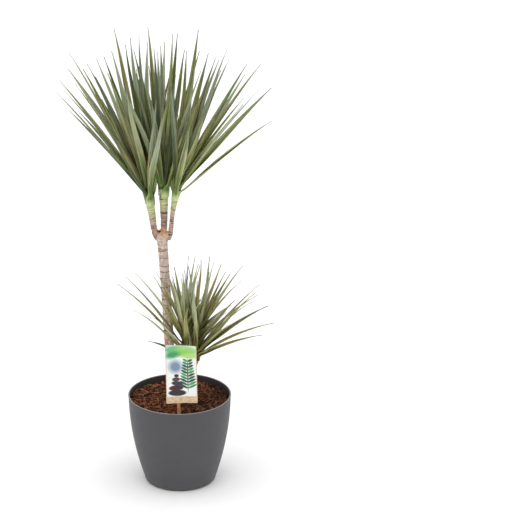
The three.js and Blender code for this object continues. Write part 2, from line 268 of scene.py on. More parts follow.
@dataclass
class Skin:
    """Gathers one mesh in millimetres: its points, its faces and the values painted on its points."""

    points: list[np.ndarray] = field(default_factory=list)
    faces: Faces = field(default_factory=list)
    paint: dict[str, list[np.ndarray]] = field(default_factory=dict)
    count: int = 0

    def add(self, points: np.ndarray, faces: Faces, **paint: np.ndarray | float) -> None:
        """Adds a closed shape.

        Args:
            points: Its points, one row each.
            faces: Its faces, as places in points.
            **paint: A value for each point, or one for all of them, under each name.
        """
        self.points.append(points)
        self.faces.extend(tuple(self.count + k for k in face) for face in faces)
        for name, values in paint.items():
            full = np.broadcast_to(np.asarray(values, float), (len(points),))
            self.paint.setdefault(name, []).append(full)
        self.count += len(points)

    def add_loft(self, rings: np.ndarray, **paint: np.ndarray | float) -> None:
        """Adds a skin with closed ends over rings that turn right-handed about the way from first to last."""
        number, around = rings.shape[:2]
        self.add(rings.reshape(-1, 3), loft_faces(number, around), **paint)

    def made(self, name: str, material: bpy.types.Material, smooth: bool = True) -> bpy.types.Object:
        """Makes the mesh object in metres.

        Args:
            name: The piece's name.
            material: Its finish.
            smooth: Whether its faces are shaded as one round surface.

        Returns:
            The linked object.
        """
        mesh = bpy.data.meshes.new(name)
        mesh.from_pydata((np.vstack(self.points) * MM).tolist(), [], self.faces)
        for title, values in self.paint.items():
            layer = mesh.attributes.new(title, "FLOAT", "POINT")
            layer.data.foreach_set("value", np.concatenate(values).astype(np.float32))
        mesh.polygons.foreach_set("use_smooth", [smooth] * len(mesh.polygons))
        mesh.materials.append(material)
        mesh.validate()
        return linked(name, mesh)


def placed(piece: bpy.types.Object, slot: Slot, *nodes: str) -> bpy.types.Object:
    """Hangs a finished piece on the frame.

    Args:
        piece: The piece.
        slot: The record's slot that its finish belongs to; not used.
        *nodes: The nodes that it stands for.

    Returns:
        The same piece.
    """
    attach(piece, "root")
    if nodes:
        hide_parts(*nodes)
    LOG.info("%s: %d faces, for %s", piece.name, len(piece.data.polygons), ", ".join(nodes) or "no node")
    return piece


# ---------------------------------------------------------------- shader tools


class Wiring:
    """Adds and joins shader nodes in one tree."""

    def __init__(self, tree: bpy.types.NodeTree) -> None:
        """Takes the tree that the nodes go in."""
        self.tree = tree

    def give(self, socket: Socket, value: Given) -> None:
        """Links another node's output to an input, or sets a plain value on it.

        Args:
            socket: The input.
            value: What it is given.
        """
        if isinstance(value, Socket):
            self.tree.links.new(value, socket)
        else:
            socket.default_value = shade(value) if isinstance(value, str) else value

    def feed(self, node: bpy.types.Node, **inputs: Given) -> None:
        """Gives a node's inputs their values, with _ for a space in a name."""
        for name, value in inputs.items():
            self.give(node.inputs[name.replace("_", " ")], value)

    def node(
        self, kind: str, inputs: dict[str | int, Given] | None = None, **settings: object
    ) -> bpy.types.Node:
        """Adds a node.

        Args:
            kind: The node's type, without its ShaderNode prefix.
            inputs: What each named or numbered input is given.
            **settings: The node's own properties.

        Returns:
            The node.
        """
        made = self.tree.nodes.new(f"ShaderNode{kind}")
        for name, value in settings.items():
            setattr(made, name, value)
        for name, value in (inputs or {}).items():
            self.give(made.inputs[name], value)
        return made

    def math(self, operation: str, *values: Given, clamp: bool = False) -> Socket:
        """Works out one number from others."""
        return self.node("Math", dict(enumerate(values)), operation=operation, use_clamp=clamp).outputs[0]

    def times(self, *values: Given, clamp: bool = False) -> Socket:
        """Multiplies numbers, and with clamp keeps every product within 0 and 1."""
        return reduce(lambda first, second: self.math("MULTIPLY", first, second, clamp=clamp), values)

    def plus(self, first: Given, second: Given) -> Socket:
        """Adds two numbers."""
        return self.math("ADD", first, second)

    def minus(self, first: Given, second: Given, clamp: bool = False) -> Socket:
        """Takes the second number from the first."""
        return self.math("SUBTRACT", first, second, clamp=clamp)

    def over(self, first: Given, second: Given) -> Socket:
        """Divides the first number by the second."""
        return self.math("DIVIDE", first, second)

    def step(self, value: Given, low: float, high: float) -> Socket:
        """Rises smoothly from 0 at low to 1 at high."""
        inputs = {"Value": value, "From Min": low, "From Max": high}
        return self.node("MapRange", inputs, interpolation_type="SMOOTHSTEP").outputs["Result"]

    def spread(self, value: Given, low: float, high: float) -> Socket:
        """Takes a value from 0 to 1 to one from low to high."""
        return self.node("MapRange", {"Value": value, "To Min": low, "To Max": high}).outputs["Result"]

    def layered(self, base: Given, *layers: tuple[Given, Given]) -> Given:
        """Lays colours over a base.

        Args:
            base: The colour below them all.
            *layers: The mask and the colour of each layer, from the lowest up.

        Returns:
            The colour that is seen.
        """
        for mask, colour in layers:
            base = self.node("Mix", {0: mask, 6: base, 7: colour}, data_type="RGBA").outputs[2]
        return base

    def noise(self, vector: Given, scale: Given, detail: float = 3.0, rough: float = 0.5) -> Socket:
        """Gives a cloudy value around a half."""
        inputs = {"Vector": vector, "Scale": scale, "Detail": detail, "Roughness": rough}
        return self.node("TexNoise", inputs).outputs["Fac"]

    def painted(self, name: str) -> Socket:
        """Reads a value painted on the mesh."""
        return self.node("Attribute", attribute_name=name).outputs["Fac"]

    def place(self) -> Socket:
        """Reads the place on the object, in metres."""
        return self.node("TexCoord").outputs["Object"]

    def vector(self, x: Given, y: Given, z: Given) -> Socket:
        """Joins three numbers."""
        return self.node("CombineXYZ", {"X": x, "Y": y, "Z": z}).outputs[0]

    def apart(self, vector: Given) -> bpy.types.NodeOutputs:
        """Takes a vector apart into X, Y and Z."""
        return self.node("SeparateXYZ", {0: vector}).outputs

    def stretched(self, vector: Given, factors: tuple[float, float, float]) -> Socket:
        """Multiplies each part of a vector."""
        return self.node("VectorMath", {0: vector, 1: factors}, operation="MULTIPLY").outputs[0]

    def bump(self, height: Given, depth: float) -> Socket:
        """Gives the normal of a surface with this relief, depth metres deep."""
        return self.node("Bump", {"Height": height, "Distance": depth}).outputs["Normal"]


# The bands of a blade, from where each starts to where it is full: as shares of the leaf's length, or of its
# half width for the margin and the rim. The base shade is painted shade on the stretch above the foot.
FADING_BAND = (0.55, 0.9)
DRY_BAND = (0.84, 0.97)
UPPER_BAND = (0.22, 0.62)
BASE_SHADE_TOP = (0.42, 0.12)
BASE_SHADE_FOOT = (0.06, 0.14)
MARGIN_BAND = (0.5, 0.66)
RIM_BAND = (0.84, 0.92)


class Effect(Enum):
    """The shader effects that finishes share."""

    MOTTLE = "mottle"
    GRAIN = "grain"
    STRIPES = "blade_stripes"
    BLOT = "printed_blot"


class Effects:
    """Builds each shared node group once and places it in materials."""

    def __init__(self) -> None:
        """Starts with no group built."""
        self.built: dict[Effect, bpy.types.NodeTree] = {}
        self.makers = {
            Effect.MOTTLE: self.make_mottle,
            Effect.GRAIN: self.make_grain,
            Effect.STRIPES: self.make_stripes,
            Effect.BLOT: self.make_blot,
        }

    def put(self, wires: Wiring, effect: Effect, **inputs: Given) -> bpy.types.NodeOutputs:
        """Puts a group in a material.

        Args:
            wires: The material's wiring.
            effect: Which group.
            **inputs: What each of its inputs is given, with _ for a space in a name.

        Returns:
            The group's outputs.
        """
        if effect not in self.built:
            self.built[effect] = self.makers[effect]()
        made = wires.node("Group", node_tree=self.built[effect])
        wires.feed(made, **inputs)
        return made.outputs

    def started(
        self, effect: Effect, inputs: dict[str, str], outputs: dict[str, str]
    ) -> tuple[Wiring, bpy.types.NodeOutputs, bpy.types.Node]:
        """Starts a group with named sockets.

        Args:
            effect: The group that is made.
            inputs: Each input's name and kind, which is Float, Color or Vector.
            outputs: Each output's name and kind.

        Returns:
            Its wiring, what its inputs give, and the node that takes its outputs.
        """
        tree = bpy.data.node_groups.new(effect.value, "ShaderNodeTree")
        for way, sockets in (("INPUT", inputs), ("OUTPUT", outputs)):
            for name, kind in sockets.items():
                tree.interface.new_socket(name, in_out=way, socket_type=f"NodeSocket{kind}")
        source = tree.nodes.new("NodeGroupInput")
        target = tree.nodes.new("NodeGroupOutput")
        return Wiring(tree), source.outputs, target

    def make_mottle(self) -> bpy.types.NodeTree:
        """Makes a colour that drifts towards another in soft patches with finer specks in them.

        Returns:
            The group.
        """
        wires, given, target = self.started(
            Effect.MOTTLE,
            {"Colour": "Color", "Other": "Color", "Place": "Vector", "Scale": "Float", "Amount": "Float"},
            {"Colour": "Color", "Mask": "Float"},
        )
        broad = wires.noise(given["Place"], given["Scale"], detail=4.0, rough=0.6)
        specks = wires.noise(given["Place"], wires.times(given["Scale"], 6.3), detail=2.0, rough=0.7)
        patches = wires.plus(wires.times(broad, 0.7), wires.times(specks, 0.3))
        mask = wires.times(wires.step(patches, 0.4, 0.62), given["Amount"])
        wires.feed(target, Colour=wires.layered(given["Colour"], (mask, given["Other"])), Mask=mask)
        return wires.tree

    def make_grain(self) -> bpy.types.NodeTree:
        """Makes a fine relief of grains with larger unevenness under them.

        Returns:
            The group.
        """
        wires, given, target = self.started(
            Effect.GRAIN, {"Place": "Vector", "Scale": "Float", "Coarse": "Float"}, {"Height": "Float"},
        )
        fine = wires.noise(given["Place"], given["Scale"], detail=2.0, rough=0.6)
        broad = wires.noise(given["Place"], wires.times(given["Scale"], 0.17), detail=2.0)
        wires.feed(target, Height=wires.plus(fine, wires.times(broad, given["Coarse"])))
        return wires.tree

    def make_stripes(self) -> bpy.types.NodeTree:
        """Makes a blade's lengthwise stripes, coloured margins, fresh lower part, pale foot and dry tip.

        Returns:
            The group.
        """
        wires, given, target = self.started(
            Effect.STRIPES,
            {
                **dict.fromkeys(("Green", "Dark", "Fresh", "Stripe", "Edge", "Foot", "Dry"), "Color"),
                **dict.fromkeys(("Stripe Share", "Foot Length", "Fresh Length"), "Float"),
            },
            {"Colour": "Color", "Ribs": "Float"},
        )
        across, along, share = wires.painted("across"), wires.painted("along"), wires.painted("share")
        aside = wires.math("ABSOLUTE", across)
        own = wires.times(wires.painted("tone"), 37.0)
        lines = wires.vector(wires.times(across, 1.9), wires.times(along, 0.003), own)
        ribs = wires.noise(lines, scale=2.4, rough=0.65)
        drift = wires.noise(wires.vector(across, wires.times(along, 0.02), own), scale=1.0, detail=2.0)
        lined = wires.step(wires.math("FRACT", wires.times(own, 0.35)), 0.2, 0.6)
        fading = wires.spread(wires.step(share, *FADING_BAND), 1.0, 0.15)
        grown = wires.step(wires.over(along, given["Fresh Length"]), 0.2, 1.0)
        pins = wires.times(wires.step(ribs, 0.56, 0.64), lined, given["Stripe Share"])
        middle = wires.minus(0.5, wires.times(aside, 3.0), clamp=True)
        wavy = wires.plus(aside, wires.times(wires.minus(drift, 0.5), 1.3))
        margin = wires.times(wires.step(wavy, *MARGIN_BAND), wires.step(ribs, 0.36, 0.5), fading)
        margin = wires.times(margin, given["Stripe Share"])
        rim = wires.times(wires.step(aside, *RIM_BAND), wires.spread(lined, 1.0, 0.5), fading)
        clear = wires.step(wires.over(along, given["Foot Length"]), 0.25, 1.0)
        colour = wires.layered(
            given["Dark"],
            (wires.step(ribs, 0.38, 0.56), given["Green"]),
            (wires.times(wires.minus(1.0, grown), 0.6), given["Fresh"]),
            (pins, given["Stripe"]),
            (middle, given["Dark"]),
            (margin, given["Stripe"]),
            (rim, given["Edge"]),
            (wires.minus(1.0, clear), given["Foot"]),
            (wires.step(share, *DRY_BAND), given["Dry"]),
        )
        wires.feed(target, Colour=colour, Ribs=ribs)
        return wires.tree

    def make_blot(self) -> bpy.types.NodeTree:
        """Makes a printed oval with a soft, slightly ragged edge.

        Returns:
            The group.
        """
        numbers = ("X", "Y", "Width", "Height", "Turn", "Softness")
        wires, given, target = self.started(
            Effect.BLOT, {"Place": "Vector", **dict.fromkeys(numbers, "Float")}, {"Mask": "Float"},
        )
        place, softness = given["Place"], given["Softness"]
        x = wires.minus(wires.apart(place)["X"], given["X"])
        y = wires.minus(wires.apart(place)["Y"], given["Y"])
        cosine, sine = wires.math("COSINE", given["Turn"]), wires.math("SINE", given["Turn"])
        wide = wires.over(wires.plus(wires.times(x, cosine), wires.times(y, sine)), given["Width"])
        high = wires.over(wires.minus(wires.times(y, cosine), wires.times(x, sine)), given["Height"])
        reach = wires.math("SQRT", wires.plus(wires.times(wide, wide), wires.times(high, high)))
        ragged = wires.times(wires.minus(wires.noise(place, scale=0.35), 0.5), 0.5, softness)
        outside = wires.over(wires.minus(wires.plus(reach, ragged), 1.0), softness)
        wires.feed(target, Mask=wires.minus(0.5, outside, clamp=True))
        return wires.tree


EFFECTS = Effects()
DRESSED: dict[str, bpy.types.Material] = {}


# ---------------------------------------------------------------- finishes


@dataclass(frozen=True)
class Look:
    """What changes over a surface: its colour, its roughness within the finish's range, and its height."""

    colour: Given
    rough: Given
    height: Given


@dataclass(frozen=True, kw_only=True)
class Finish:
    """A material: its range of roughness, the depth of its relief in metres and how strongly it reflects."""

    name: str
    roughness: tuple[float, float]
    relief: float
    specular: float

    def look(self, wires: Wiring) -> Look:
        """Wires what changes over the surface."""
        raise NotImplementedError

    def material(self) -> bpy.types.Material:
        """Makes the material, or finds it if it is made.

        Returns:
            The material.
        """
        made = DRESSED.get(self.name)
        if made is None:
            made = DRESSED[self.name] = bpy.data.materials.new(self.name)
            made.use_nodes = True
            made.node_tree.nodes.clear()
            wires = Wiring(made.node_tree)
            surface = wires.node("BsdfPrincipled")
            look = self.look(wires)
            wires.feed(
                surface,
                Base_Color=look.colour,
                Roughness=wires.spread(look.rough, *self.roughness),
                Normal=wires.bump(look.height, self.relief),
                Specular_IOR_Level=self.specular,
            )
            wires.node("OutputMaterial", {"Surface": surface.outputs[0]})
        return made


@dataclass(frozen=True, kw_only=True)
class MouldedPlastic(Finish):
    """The planter's matt plastic: finely textured, dusty low down, with painted shade on the inner wall and a
    painted highlight along the lip.
    """

    base: str
    cloud: str
    dust: str
    inner_shade: str
    lip_highlight: str
    dust_height: float = 0.03
    dust_most: float = 0.35

    def look(self, wires: Wiring) -> Look:
        """Wires the plastic's colour, sheen and moulded texture.

        Args:
            wires: The material's wiring.

        Returns:
            The look.
        """
        place = wires.place()
        mottle = EFFECTS.put(
            wires, Effect.MOTTLE, Colour=self.base, Other=self.cloud, Place=place, Scale=14.0, Amount=0.35,
        )
        grain = EFFECTS.put(wires, Effect.GRAIN, Place=place, Scale=1500.0, Coarse=0.6)
        low = wires.minus(1.0, wires.step(wires.apart(place)["Z"], 0.0, self.dust_height))
        dusty = wires.times(low, wires.spread(wires.noise(place, scale=90.0), 0.0, self.dust_most))
        highlight_patches = wires.spread(wires.noise(place, scale=70.0), 0.3, 1.1)
        colour = wires.layered(
            mottle["Colour"],
            (dusty, self.dust),
            # Painted shade: the inner wall is darkened.
            (wires.painted("inside"), self.inner_shade),
            # Painted highlight: a pale line in patches along the top of the lip.
            (wires.times(wires.painted("lip"), highlight_patches, clamp=True), self.lip_highlight),
        )
        return Look(colour, wires.noise(place, scale=60.0), grain["Height"])


@dataclass(frozen=True, kw_only=True)
class PottingMix(Finish):
    """Bark crumbs or coir, each piece with a tone of its own."""

    dark: str
    light: str
    rim: str

    def look(self, wires: Wiring) -> Look:
        """Wires the crumbs' colours and their rough relief.

        Args:
            wires: The material's wiring.

        Returns:
            The look.
        """
        place = wires.place()
        own = wires.layered(self.dark, (wires.painted("tone"), self.light))
        mottle = EFFECTS.put(
            wires, Effect.MOTTLE, Colour=own, Other=self.rim, Place=place, Scale=260.0, Amount=0.7,
        )
        grain = EFFECTS.put(wires, Effect.GRAIN, Place=place, Scale=1900.0, Coarse=1.2)
        return Look(mottle["Colour"], mottle["Mask"], grain["Height"])


@dataclass(frozen=True, kw_only=True)
class Bark(Finish):
    """Cane bark: beige with dark scar rings, pale green near the leaves, orange-brown where it was cut and
    painted shade in the crotch.
    """

    pale: str
    brown: str
    stain: str
    ring: str
    green: str
    cut: str
    dent_and_shade: str
    stretch: tuple[float, float, float] = (1.0, 1.0, 0.3)

    def look(self, wires: Wiring) -> Look:
        """Wires the bark's bands from the values painted on the cane.

        Args:
            wires: The material's wiring.

        Returns:
            The look.
        """
        place = wires.place()
        long = wires.stretched(place, self.stretch)
        mottle = EFFECTS.put(
            wires, Effect.MOTTLE, Colour=self.pale, Other=self.brown, Place=place, Scale=120.0, Amount=0.45,
        )
        grain = EFFECTS.put(wires, Effect.GRAIN, Place=place, Scale=900.0, Coarse=1.4)
        cloudy = wires.noise(place, scale=260.0)
        patchy = wires.spread(wires.noise(place, scale=500.0), 0.0, 1.3)
        streaks = wires.step(wires.noise(long, scale=420.0, detail=4.0, rough=0.65), 0.56, 0.68)
        pits = wires.step(wires.noise(long, scale=600.0, rough=0.6), 0.6, 0.66)
        green = wires.times(wires.painted("green"), wires.spread(wires.noise(place, scale=300.0), 0.75, 1.0))
        rings = wires.times(wires.painted("ring"), wires.spread(cloudy, 0.5, 1.7), clamp=True)
        wood = wires.layered(self.cut, (wires.step(cloudy, 0.5, 0.68), self.brown))
        colour = wires.layered(
            mottle["Colour"],
            (wires.times(streaks, 0.75), self.brown),
            (wires.times(wires.painted("stain"), patchy, clamp=True), self.stain),
            (wires.times(pits, 0.85), self.ring),
            (green, self.green),
            (rings, self.ring),
            (wires.painted("cut"), wood),
            # Painted shade: near-black in the notch at the crotch.
            (wires.painted("notch"), self.dent_and_shade),
        )
        return Look(colour, green, grain["Height"])


@dataclass(frozen=True, kw_only=True)
class LeafTissue(Finish):
    """A striped, waxy blade."""

    green: str
    dark: str
    fresh: str
    stripe: str
    edge: str
    foot: str
    dry: str
    painted_sheen: str
    dull: str
    stripe_share: float
    foot_length: float
    fresh_length: float
    painted_sheen_most: float = 0.8
    dull_most: float = 0.6
    dark_most: float = 0.85

    def look(self, wires: Wiring) -> Look:
        """Wires the blade's stripes, its own tone, a painted sheen on its upper half and painted shade.

        Args:
            wires: The material's wiring.

        Returns:
            The look.
        """
        stripes = EFFECTS.put(
            wires, Effect.STRIPES,
            Green=self.green, Dark=self.dark, Fresh=self.fresh, Stripe=self.stripe, Edge=self.edge,
            Foot=self.foot, Dry=self.dry, Stripe_Share=self.stripe_share, Foot_Length=self.foot_length,
            Fresh_Length=self.fresh_length,
        )
        ribs, tone, share = stripes["Ribs"], wires.painted("tone"), wires.painted("share")
        patches = wires.spread(wires.noise(wires.place(), scale=30.0), 0.45, 1.1)
        upper = wires.times(wires.step(share, *UPPER_BAND), wires.spread(ribs, 0.25, 1.6), clamp=True)
        # Painted sheen: a pale grey-green over the upper half of some blades.
        sheen_mask = wires.times(wires.step(tone, 0.3, 0.75), upper, patches, clamp=True)
        weak = wires.times(wires.step(tone, 0.36, 0.05), upper, patches, self.dull_most)
        shaded = wires.math("POWER", wires.math("FRACT", wires.times(tone, 7.0)), 2.5)
        # Painted shade: each blade darkens on its lower stretch, just above its foot, deep in the head.
        inner = wires.times(wires.step(share, *BASE_SHADE_TOP), wires.step(share, *BASE_SHADE_FOOT))
        colour = wires.layered(
            stripes["Colour"],
            (wires.times(sheen_mask, self.painted_sheen_most), self.painted_sheen),
            (weak, self.dull),
            (wires.spread(shaded, 0.0, self.dark_most), self.dark),
            (wires.times(inner, wires.spread(shaded, 0.3, 0.8)), self.dark),
        )
        return Look(colour, ribs, ribs)


@dataclass(frozen=True)
class Motif:
    """One printed oval on the card, placed in millimetres from the print's lower left corner."""

    x: float
    y: float
    width: float
    height: float
    colour: str
    turn: float
    softness: float


@dataclass(frozen=True, kw_only=True)
class PrintedCard(Finish):
    """Coated card with a print of soft ovals on its front."""

    ground: str
    back: str
    motifs: tuple[Motif, ...]

    def look(self, wires: Wiring) -> Look:
        """Lays the motifs over the ground in their order.

        Args:
            wires: The material's wiring.

        Returns:
            The look.
        """
        place = wires.vector(wires.painted("print_x"), wires.painted("print_y"), 0.0)
        layers = []
        for motif in self.motifs:
            blot = EFFECTS.put(
                wires, Effect.BLOT,
                Place=place, X=motif.x, Y=motif.y, Width=motif.width / 2, Height=motif.height / 2,
                Turn=math.radians(motif.turn), Softness=motif.softness,
            )
            layers.append((blot["Mask"], motif.colour))
        printed = wires.layered(self.ground, *layers)
        front = wires.step(wires.painted("front"), 0.4, 0.6)
        grain = EFFECTS.put(wires, Effect.GRAIN, Place=wires.place(), Scale=2500.0, Coarse=0.5)
        return Look(wires.layered(self.back, (front, printed)), grain["Height"], grain["Height"])


@dataclass(frozen=True, kw_only=True)
class Fibrous(Finish):
    """Board or wood with fibres that lie one way."""

    base: str
    other: str
    fibre: tuple[float, float, float]

    def look(self, wires: Wiring) -> Look:
        """Wires the fibres' streaks and their relief.

        Args:
            wires: The material's wiring.

        Returns:
            The look.
        """
        place = wires.stretched(wires.place(), self.fibre)
        mottle = EFFECTS.put(
            wires, Effect.MOTTLE, Colour=self.base, Other=self.other, Place=place, Scale=1.0, Amount=0.8,
        )
        grain = EFFECTS.put(wires, Effect.GRAIN, Place=place, Scale=7.0, Coarse=0.8)
        return Look(mottle["Colour"], grain["Height"], grain["Height"])


PLASTIC = MouldedPlastic(
    name="planter_plastic", roughness=(0.48, 0.62), relief=0.00005, specular=0.45,
    base="4c4c4f", cloud="525255", dust="7c7b78", inner_shade="434347", lip_highlight="a39b96",
)
MIX = PottingMix(
    name="potting_mix", roughness=(0.95, 0.75), relief=0.0004, specular=0.25,
    dark="200f0a", light="b2673f", rim="180a06",
)
COIR = PottingMix(
    name="coir_fibre", roughness=(0.95, 0.75), relief=0.0004, specular=0.25,
    dark="4a2414", light="dca071", rim="331a10",
)
BARK = Bark(
    name="cane_bark", roughness=(0.88, 0.6), relief=0.0006, specular=0.3,
    pale="f0dccf", brown="95705a", stain="a06f4c", ring="33231b", green="dbe3a6", cut="eebb95",
    dent_and_shade="1e120c",
)
CROWN_LEAF = LeafTissue(
    name="striped_crown_blade", roughness=(0.42, 0.6), relief=0.0003, specular=0.35,
    green="8aa545", dark="1f3106", fresh="649828", stripe="d6c795", edge="d3bd8c", foot="dbe5a2",
    dry="55533f", painted_sheen="c2cab6", dull="b3a47c", stripe_share=0.65, foot_length=22.0, fresh_length=90.0,
)
LOW_LEAF = LeafTissue(
    name="striped_low_blade", roughness=(0.42, 0.6), relief=0.0003, specular=0.35,
    # The low blades' foot is dark brown: brown sheaths, darkened further as painted shade among the leaf
    # bases.
    green="b2bc64", dark="47451f", fresh="84a03c", stripe="e0d5a4", edge="8e6748", foot="5f4626",
    dry="55533f", painted_sheen="d0d8be", dull="ab8c62", stripe_share=0.65, foot_length=16.0, fresh_length=60.0,
)
KRAFT = Fibrous(
    name="kraft_board", roughness=(0.77, 0.9), relief=0.0001, specular=0.3,
    base="f3d9b8", other="c9a67c", fibre=(160.0, 160.0, 900.0),
)
STAKE_WOOD = Fibrous(
    name="stake_wood", roughness=(0.67, 0.8), relief=0.0001, specular=0.3,
    base="dba070", other="a86c42", fibre=(900.0, 900.0, 60.0),
)


# ---------------------------------------------------------------- planter


@dataclass
class Planter:
    """The round planter: a bulged wall with a rolled lip, on a flat foot."""

    height: float = 197.0
    foot_radius: float = 68.0
    foot_round: float = 8.0
    base_radius: float = 74.5
    rim_radius: float = 109.7
    bulge: float = 1.93
    lip_radius: float = 110.5
    lip_width: float = 3.4
    lip_depth: float = 6.0
    lip_highlight_depth: tuple[float, float] = (1.3, 0.2)
    wall: float = 3.0
    floor: float = 4.0
    floor_round: float = 4.0
    arc_step: int = 15
    middle_share: float = 0.3
    sides: int = 144
    steps: int = 30

    def outer(self, level: float | np.ndarray) -> float | np.ndarray:
        """Gives the wall's outer radius at a height."""
        rise = 1 - (1 - level / self.height) ** self.bulge
        return self.base_radius + (self.rim_radius - self.base_radius) * rise

    def profile(self) -> list[tuple[float, float]]:
        """Draws the wall's outline.

        Returns:
            Radius and height, from the middle of the foot round the lip to the middle of the floor.
        """
        quarter = np.radians(np.arange(0, 91, self.arc_step))
        start, roll = self.outer(self.foot_round), self.lip_width / 2
        low, high = self.foot_round + 2, self.height - self.lip_depth
        foot = [
            (self.foot_radius + (start - self.foot_radius) * math.sin(a), self.foot_round * (1 - math.cos(a)))
            for a in quarter
        ]
        outside = [(self.outer(level), level) for level in np.linspace(low, high, self.steps)]
        lip = [
            (self.lip_radius - roll + roll * math.cos(a), self.height - roll + roll * math.sin(a))
            for a in np.radians(np.arange(0, 181, self.arc_step))
        ]
        inside = [
            (self.outer(level) - self.wall, level)
            for level in np.linspace(high, self.floor + self.floor_round, self.steps)
        ]
        end, curve = inside[-1][0], self.floor_round
        floor = [
            (end - curve * (1 - math.cos(a)), self.floor + curve * (1 - math.sin(a)))
            for a in quarter[1:]
        ]
        return [*foot, *outside, *lip, *inside, *floor]

    def build(self) -> list[bpy.types.Object]:
        """Turns the profile about the upright axis and closes it at both middles.

        Returns:
            The planter's one piece.
        """
        rings = [level_ring(radius, level, self.sides) for radius, level in self.profile()]
        inwards = np.array([self.middle_share, self.middle_share, 1.0])
        shell = np.array([rings[0] * inwards, *rings, rings[-1] * inwards])
        x, y, level = shell.reshape(-1, 3).T
        # inside marks the inner wall, which gets painted shade.
        inside = eased(self.outer(level) - np.hypot(x, y), self.wall * 0.6, self.wall * 0.95)
        skin = Skin()
        skin.add_loft(
            shell,
            inside=inside * (level > self.floor / 2),
            # lip marks the top of the roll, where the painted highlight goes.
            lip=eased(level, self.height - self.lip_highlight_depth[0], self.height - self.lip_highlight_depth[1]),
        )
        return [placed(skin.made("planter_shell", PLASTIC.material()), Slot.PLANTER, "pot")]


# ---------------------------------------------------------------- potting mix


@dataclass(frozen=True)
class Loose:
    """One kind of loose piece on the bed: how many are drawn and how far they keep from the wall."""

    name: str
    finish: PottingMix
    count: int
    clear: float
    smooth: bool = True


